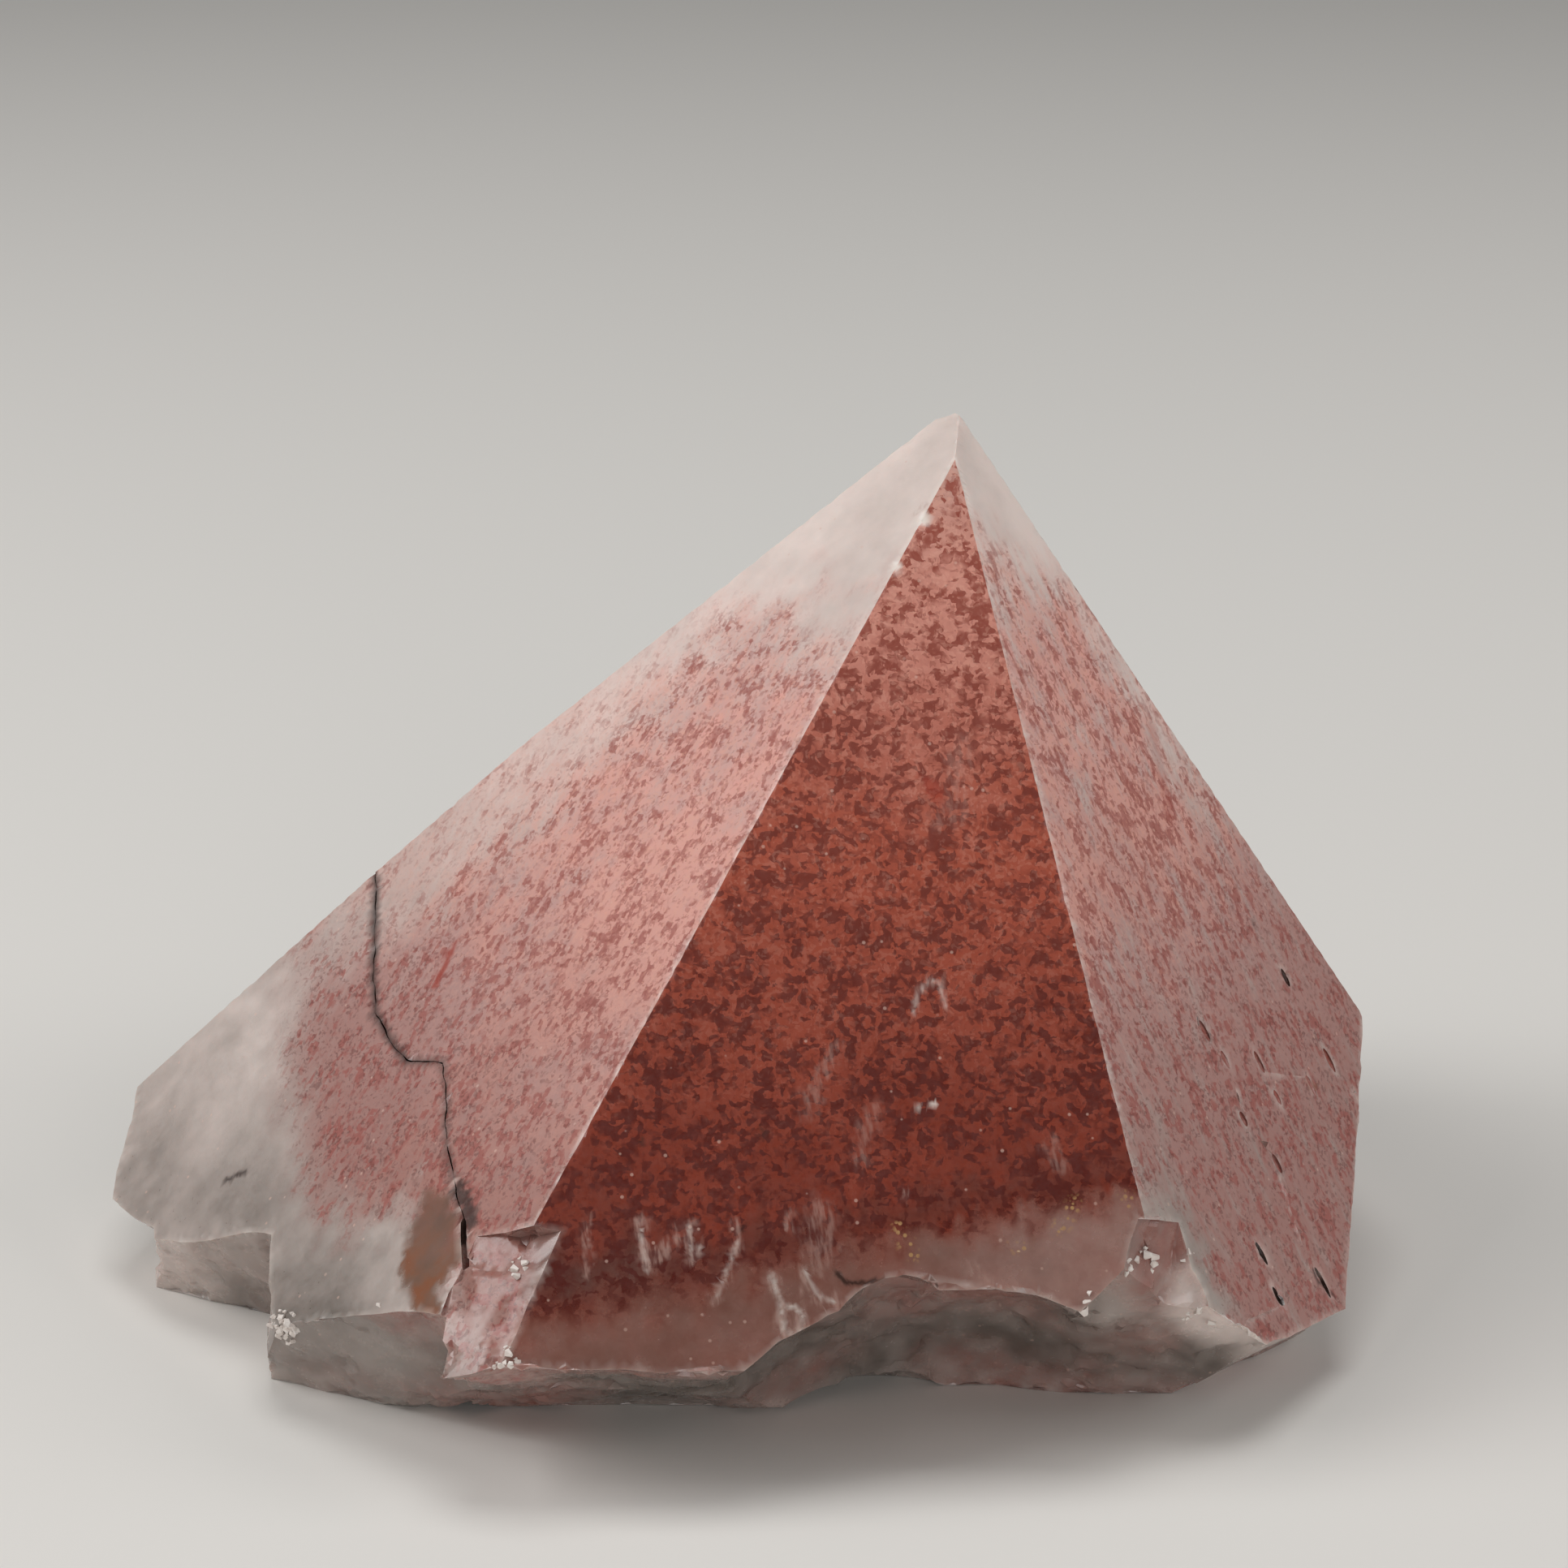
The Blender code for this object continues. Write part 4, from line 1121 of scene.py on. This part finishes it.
def marksOver(tree, shared, painted, colours, colour):
    # painted marks: denser flakes, torn veils of bubbles, rust, painted gold glints, worn edges with
    # painted highlights and glints, dark dirt with painted shade in the crack and hollow
    finish, coords = quartzFinish, shared["coords"]
    laid = addNode(tree, "ShaderNodeMapping", laidOut,
                   {"Vector": coords, "Rotation": laidAlong("front", finish["tearSlant"]),
                    "Scale": drawnOut(finish["tear"])})
    torn = addNode(tree, "ShaderNodeTexNoise", {}, {"Vector": laid, "Scale": 1.0, "Detail": 2.0}, "Fac")
    torn = addNode(tree, "ShaderNodeMapRange", eased, {0: torn, **finish["tearRange"]})
    torn = addNode(tree, "ShaderNodeMath", times, {0: painted["wisp"], 1: torn})
    patchy = addNode(tree, "ShaderNodeMapRange", eased,
                     {0: shared["smallCloud"], 1: 0.3, 2: 0.7, 3: 0.45, 4: 1.0})
    patchy = addNode(tree, "ShaderNodeMath", times, {0: painted["rust"], 1: patchy})
    # gold glints in small dots: painted highlight
    goldGlint = addNode(tree, "ShaderNodeTexVoronoi", {},
                   {"Vector": coords, "Scale": 1 / (finish["goldGlintSize"] * mm)}, "Distance")
    goldGlint = addNode(tree, "ShaderNodeMapRange", eased, {0: goldGlint, 1: 0.48, 2: 0.30})
    goldGlint = addNode(tree, "ShaderNodeMath", times, {0: painted["goldGlint"], 1: goldGlint})
    for share, name in ((painted["bloodRed"], "bloodRed"), (torn, "wisp"), (patchy, "rust"),
                        (goldGlint, "goldGlint"), (painted["worn"], "paleWearAndGlint"), (painted["dirtAndShade"], "dirtAndShade")):
        colour = addNode(tree, "ShaderNodeMix", colourMix, {0: share, 6: colour, 7: colours[name]}, 2)
    return colour


def satinAndGlass(tree, shared, painted):
    # satin growth faces, glassy breaks, and both a little uneven to the touch
    finish, cloudy = quartzFinish, shared["smallCloud"]
    grain = addNode(tree, "ShaderNodeTexNoise", {},
                    {"Vector": shared["coords"], "Scale": 1 / (finish["grain"] * mm), "Detail": 3.0,
                     "Roughness": 0.6}, "Fac")
    satin = addNode(tree, "ShaderNodeMapRange", eased, {0: grain, 1: 0.2, 2: 0.8, **finish["satin"]})
    glassy = addNode(tree, "ShaderNodeMapRange", eased, {0: cloudy, 1: 0.2, 2: 0.8, **finish["glassy"]})
    roughness = addNode(tree, "ShaderNodeMix", plainMix, {0: painted["clear"], 2: satin, 3: glassy})
    relief = addNode(tree, "ShaderNodeMapRange", eased,
                     {0: painted["clear"], 1: 0.2, 2: 0.7, 3: 1.0, 4: 0.1})
    relief = addNode(tree, "ShaderNodeMath", times, {0: relief, 1: grain})
    relief = addNode(tree, "ShaderNodeMath", timesPlus, {0: cloudy, 1: 0.5, 2: relief})
    bump = addNode(tree, "ShaderNodeBump", {},
                   {"Strength": 0.4, "Distance": finish["bumpDepth"] * mm, "Height": relief})
    return roughness, bump


def clearness(tree, shared, painted):
    # how much light passes: most where it's neither milky nor stained
    clear = addNode(tree, "ShaderNodeMapRange", {},
                    {0: shared["milkiness"], 3: quartzFinish["clearest"], 4: 0.0})
    clear = addNode(tree, "ShaderNodeMath", times, {0: clear, 1: painted["clear"]})
    stained = addNode(tree, "ShaderNodeMath", {"operation": "MAXIMUM"},
                      {0: painted["rust"], 1: painted["dirtAndShade"]})
    unstained = addNode(tree, "ShaderNodeMapRange", {}, {0: stained, 3: 1.0, 4: 0.0})
    return addNode(tree, "ShaderNodeMath", times, {0: clear, 1: unstained})


def quartzMaterial():
    finish = quartzFinish
    colours = {name: linearColour(code) for name, code in finish["colours"].items()}
    material, tree = emptyMaterial("hematiteQuartz")
    shared = {"coords": addNode(tree, "ShaderNodeTexCoord", output="Object")}
    painted = {name: addNode(tree, "ShaderNodeAttribute", {"attribute_name": name}, output="Fac")
               for name in paintedNames}
    colour = hostQuartz(tree, shared, painted, colours)
    flakePatterns(tree, shared)
    sidePatterns(tree, shared, painted)
    redness(tree, shared, painted)
    colour = redVeil(tree, shared, painted, colours, colour)
    colour = flakesOver(tree, shared, painted, colours, colour)
    colour = marksOver(tree, shared, painted, colours, colour)
    roughness, bump = satinAndGlass(tree, shared, painted)
    shader = addNode(tree, "ShaderNodeBsdfPrincipled", {}, {
        "Base Color": colour, "Roughness": roughness, "IOR": finish["ior"], "Normal": bump,
        "Transmission Weight": clearness(tree, shared, painted),
        "Subsurface Weight": finish["scatter"], "Subsurface Radius": (1.0, 0.5, 0.4),
        "Subsurface Scale": finish["scatterDepth"],
    })
    addNode(tree, "ShaderNodeOutputMaterial", {}, {"Surface": shader})
    return material


crystal.data.materials.clear()
crystal.data.materials.append(quartzMaterial())
print("hematite quartz made")

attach(crystal, "root")
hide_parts("quartz_crystal")


# crushed quartz left on the breaks: small angular grains, white because light scatters in them
grainPlan = {
    "leastSize": 0.18,  # mm
    "mostSize": 0.66,
    "perSquareMm": 14.0,
    "seed": 5,
    "splinter": {"Vertices": 5, "Radius Top": 0.22, "Radius Bottom": 0.48, "Depth": 0.8},  # of its size
    "stretch": ((0.45, 0.55, 0.5), (1.1, 1.0, 1.0)),  # least and most, along each of its sides
    "spots": [  # centre and radius in mm, strength
        ((-25.2, -20.2, 4.9), 1.35, 1.7),
        # the spots on this line and the next, at the front-right foot, put white grains where the broken
        # edges show highlights: partly crumbs, partly painted highlight
        ((22.6, -25.0, 11.0), 0.9, 0.8), ((21.1, -26.4, 11.4), 0.8, 0.6),
        ((24.8, -23.4, 10.6), 1.0, 0.6), ((24.9, -24.3, 7.5), 1.1, 0.5), ((24.0, -25.9, 8.3), 0.7, 0.4),
        ((-11.4, -28.3, 12.2), 1.2, 0.4), ((-12.0, -32.2, 8.8), 1.3, 0.4),
        ((-19.3, -24.6, 8.7), 0.7, 0.5), ((18.4, -28.3, 9.9), 0.8, 0.3), ((-37.0, -2.4, 5.3), 0.8, 0.3),
        ((9.9, -1.2, 46.0), 0.5, 0.5),
    ],
    "gathering": (1.3, 1.5),  # height and power of each spot's slope
    "shades": ("#c9b7ad", "#f4efe9"),
    "patch": 0.5,  # mm
    "rough": {3: 0.25, 4: 0.6},
}


def crushedQuartz():
    # crushed quartz, matte and white with a little sparkle from its broken sides
    material, tree = emptyMaterial("crushedQuartz")
    darker, lighter = (linearColour(code) for code in grainPlan["shades"])
    coords = addNode(tree, "ShaderNodeTexCoord", output="Object")
    patches = addNode(tree, "ShaderNodeTexNoise", {},
                      {"Vector": coords, "Scale": 1 / (grainPlan["patch"] * mm), "Detail": 2.0}, "Fac")
    colour = addNode(tree, "ShaderNodeMix", colourMix, {0: patches, 6: darker, 7: lighter}, 2)
    rough = addNode(tree, "ShaderNodeMapRange", {}, {0: patches, **grainPlan["rough"]})
    shader = addNode(tree, "ShaderNodeBsdfPrincipled", {},
                     {"Base Color": colour, "Roughness": rough, "IOR": quartzFinish["ior"]})
    addNode(tree, "ShaderNodeOutputMaterial", {}, {"Surface": shader})
    return material


def grainNodes(material):
    tree = bpy.data.node_groups.new("scatteredGrains", "GeometryNodeTree")
    tree.interface.new_socket("Geometry", in_out="INPUT", socket_type="NodeSocketGeometry")
    for name, kind in (("Least Size", "NodeSocketFloat"), ("Most Size", "NodeSocketFloat"),
                       ("Grains Per Square Metre", "NodeSocketFloat"), ("Seed", "NodeSocketInt")):
        tree.interface.new_socket(name, in_out="INPUT", socket_type=kind)
    tree.interface.new_socket("Geometry", in_out="OUTPUT", socket_type="NodeSocketGeometry")
    start = addNode(tree, "NodeGroupInput", output=None).outputs
    where = addNode(tree, "GeometryNodeInputNamedAttribute", {"data_type": "FLOAT"}, {"Name": "grains"})
    density = addNode(tree, "ShaderNodeMath", times, {0: where, 1: start["Grains Per Square Metre"]})
    points = addNode(tree, "GeometryNodeDistributePointsOnFaces", {},
                     {"Mesh": start["Geometry"], "Density": density, "Seed": start["Seed"]}, "Points")
    # a blunt five-sided splinter, about as wide as it's tall
    grain = addNode(tree, "GeometryNodeMeshCone", {}, grainPlan["splinter"], "Mesh")
    turn = addNode(tree, "FunctionNodeRandomValue", {"data_type": "FLOAT_VECTOR"},
                   {0: (0, 0, 0), 1: (6.28, 6.28, 6.28), "Seed": start["Seed"]})  # a whole turn
    size = addNode(tree, "FunctionNodeRandomValue", {"data_type": "FLOAT"},
                   {2: start["Least Size"], 3: start["Most Size"], "Seed": start["Seed"]}, 1)
    shape = addNode(tree, "FunctionNodeRandomValue", {"data_type": "FLOAT_VECTOR"},
                    {0: grainPlan["stretch"][0], 1: grainPlan["stretch"][1], "Seed": start["Seed"]})
    scale = addNode(tree, "ShaderNodeVectorMath", {"operation": "SCALE"}, {0: shape, "Scale": size})
    placed = addNode(tree, "GeometryNodeInstanceOnPoints", {},
                     {"Points": points, "Instance": grain, "Rotation": turn, "Scale": scale})
    real = addNode(tree, "GeometryNodeRealizeInstances", {}, {"Geometry": placed})
    done = addNode(tree, "GeometryNodeSetMaterial", {}, {"Geometry": real, "Material": material})
    addNode(tree, "NodeGroupOutput", {}, {"Geometry": done})
    return tree


def scatterGrains():
    carrierMesh = crystal.data.copy()
    points = np.empty(len(carrierMesh.vertices) * 3)
    carrierMesh.vertices.foreach_get("co", points)
    points = points.reshape(-1, 3) / mm
    strength = np.zeros(len(points))
    height, power = grainPlan["gathering"]
    for centre, radius, amount in grainPlan["spots"]:
        closeness = np.clip(height - height * gapTo(points, centre) / radius, 0, 1)
        strength = np.maximum(strength, amount * closeness ** power)
    layer = carrierMesh.attributes.new("grains", "FLOAT", "POINT")
    layer.data.foreach_set("value", strength.astype(np.float32))
    carrier = bpy.data.objects.new("grainCarrier", carrierMesh)
    bpy.context.scene.collection.objects.link(carrier)
    tree = grainNodes(crushedQuartz())
    modifier = carrier.modifiers.new("grains", "NODES")
    modifier.node_group = tree
    sockets = {item.name: item.identifier for item in tree.interface.items_tree if item.in_out == "INPUT"}
    modifier[sockets["Least Size"]] = grainPlan["leastSize"] * mm
    modifier[sockets["Most Size"]] = grainPlan["mostSize"] * mm
    modifier[sockets["Grains Per Square Metre"]] = grainPlan["perSquareMm"] / mm ** 2
    modifier[sockets["Seed"]] = grainPlan["seed"]
    graph = bpy.context.evaluated_depsgraph_get()
    mesh = bpy.data.meshes.new_from_object(carrier.evaluated_get(graph))
    bpy.data.objects.remove(carrier)
    mesh.name = "crushedGrains"
    keepInside(mesh)
    mesh.shade_flat()
    grains = bpy.data.objects.new("crushedGrains", mesh)
    bpy.context.scene.collection.objects.link(grains)
    print("grains scattered:", len(mesh.polygons), "faces")
    return grains


grains = scatterGrains()
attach(grains, "root")


# table and light
studio = {
    "table": "#e6e3de",
    "tableSize": 5.0,
    "tableRough": 0.7,
    "paintNap": 10 / 9,  # mm, left by the roller
    "napDepth": (0.05, 0.0002),  # strength, metres
    "boxes": {  # softboxes: where they stand (m), size (m), power (W)
        "left": ((-0.56, -0.06, 0.46), 0.42, 2.8),
        "right": ((0.60, -0.10, 0.36), 0.36, 1.25),
        "overhead": ((0.02, 0.10, 0.78), 0.40, 1.8),
        "frontFill": ((0.12, -0.75, 0.20), 0.40, 1.4),
    },
    "aim": (0, 0, 0.02),
    "room": ("#ffffff", 0.10),
}


def matteTable():
    # painted board: matte, with the faint unevenness of rolled paint
    material, tree = emptyMaterial("paintedBoard")
    coords = addNode(tree, "ShaderNodeTexCoord", output="Object")
    rolled = addNode(tree, "ShaderNodeTexNoise", {},
                     {"Vector": coords, "Scale": 1 / (studio["paintNap"] * mm), "Detail": 2.0}, "Fac")
    strength, depth = studio["napDepth"]
    bump = addNode(tree, "ShaderNodeBump", {}, {"Strength": strength, "Distance": depth, "Height": rolled})
    shader = addNode(tree, "ShaderNodeBsdfPrincipled", {},
                     {"Base Color": linearColour(studio["table"]), "Roughness": studio["tableRough"],
                      "Normal": bump})
    addNode(tree, "ShaderNodeOutputMaterial", {}, {"Surface": shader})
    return material


half = studio["tableSize"] / 2
tableMesh = bpy.data.meshes.new("table")
tableCorners = [(-half, -half, 0), (half, -half, 0), (half, half, 0), (-half, half, 0)]
tableMesh.from_pydata(tableCorners, [], [(0, 1, 2, 3)])
tableMesh.materials.append(matteTable())
table = bpy.data.objects.new("table", tableMesh)
bpy.context.scene.collection.objects.link(table)

for name, (place, size, power) in studio["boxes"].items():
    light = bpy.data.lights.new(name, "AREA")
    light.shape = "SQUARE"
    light.size = size
    light.energy = power
    box = bpy.data.objects.new(name, light)
    box.location = place
    box.rotation_euler = (Vector(studio["aim"]) - Vector(place)).to_track_quat("-Z", "Y").to_euler()
    bpy.context.scene.collection.objects.link(box)

room = bpy.data.worlds.new("room")
room.use_nodes = True
colour, strength = studio["room"]
background = room.node_tree.nodes["Background"]
background.inputs["Color"].default_value = linearColour(colour)
background.inputs["Strength"].default_value = strength
bpy.context.scene.world = room
bpy.context.scene.view_settings.view_transform = "Standard"
print("table and lights set")
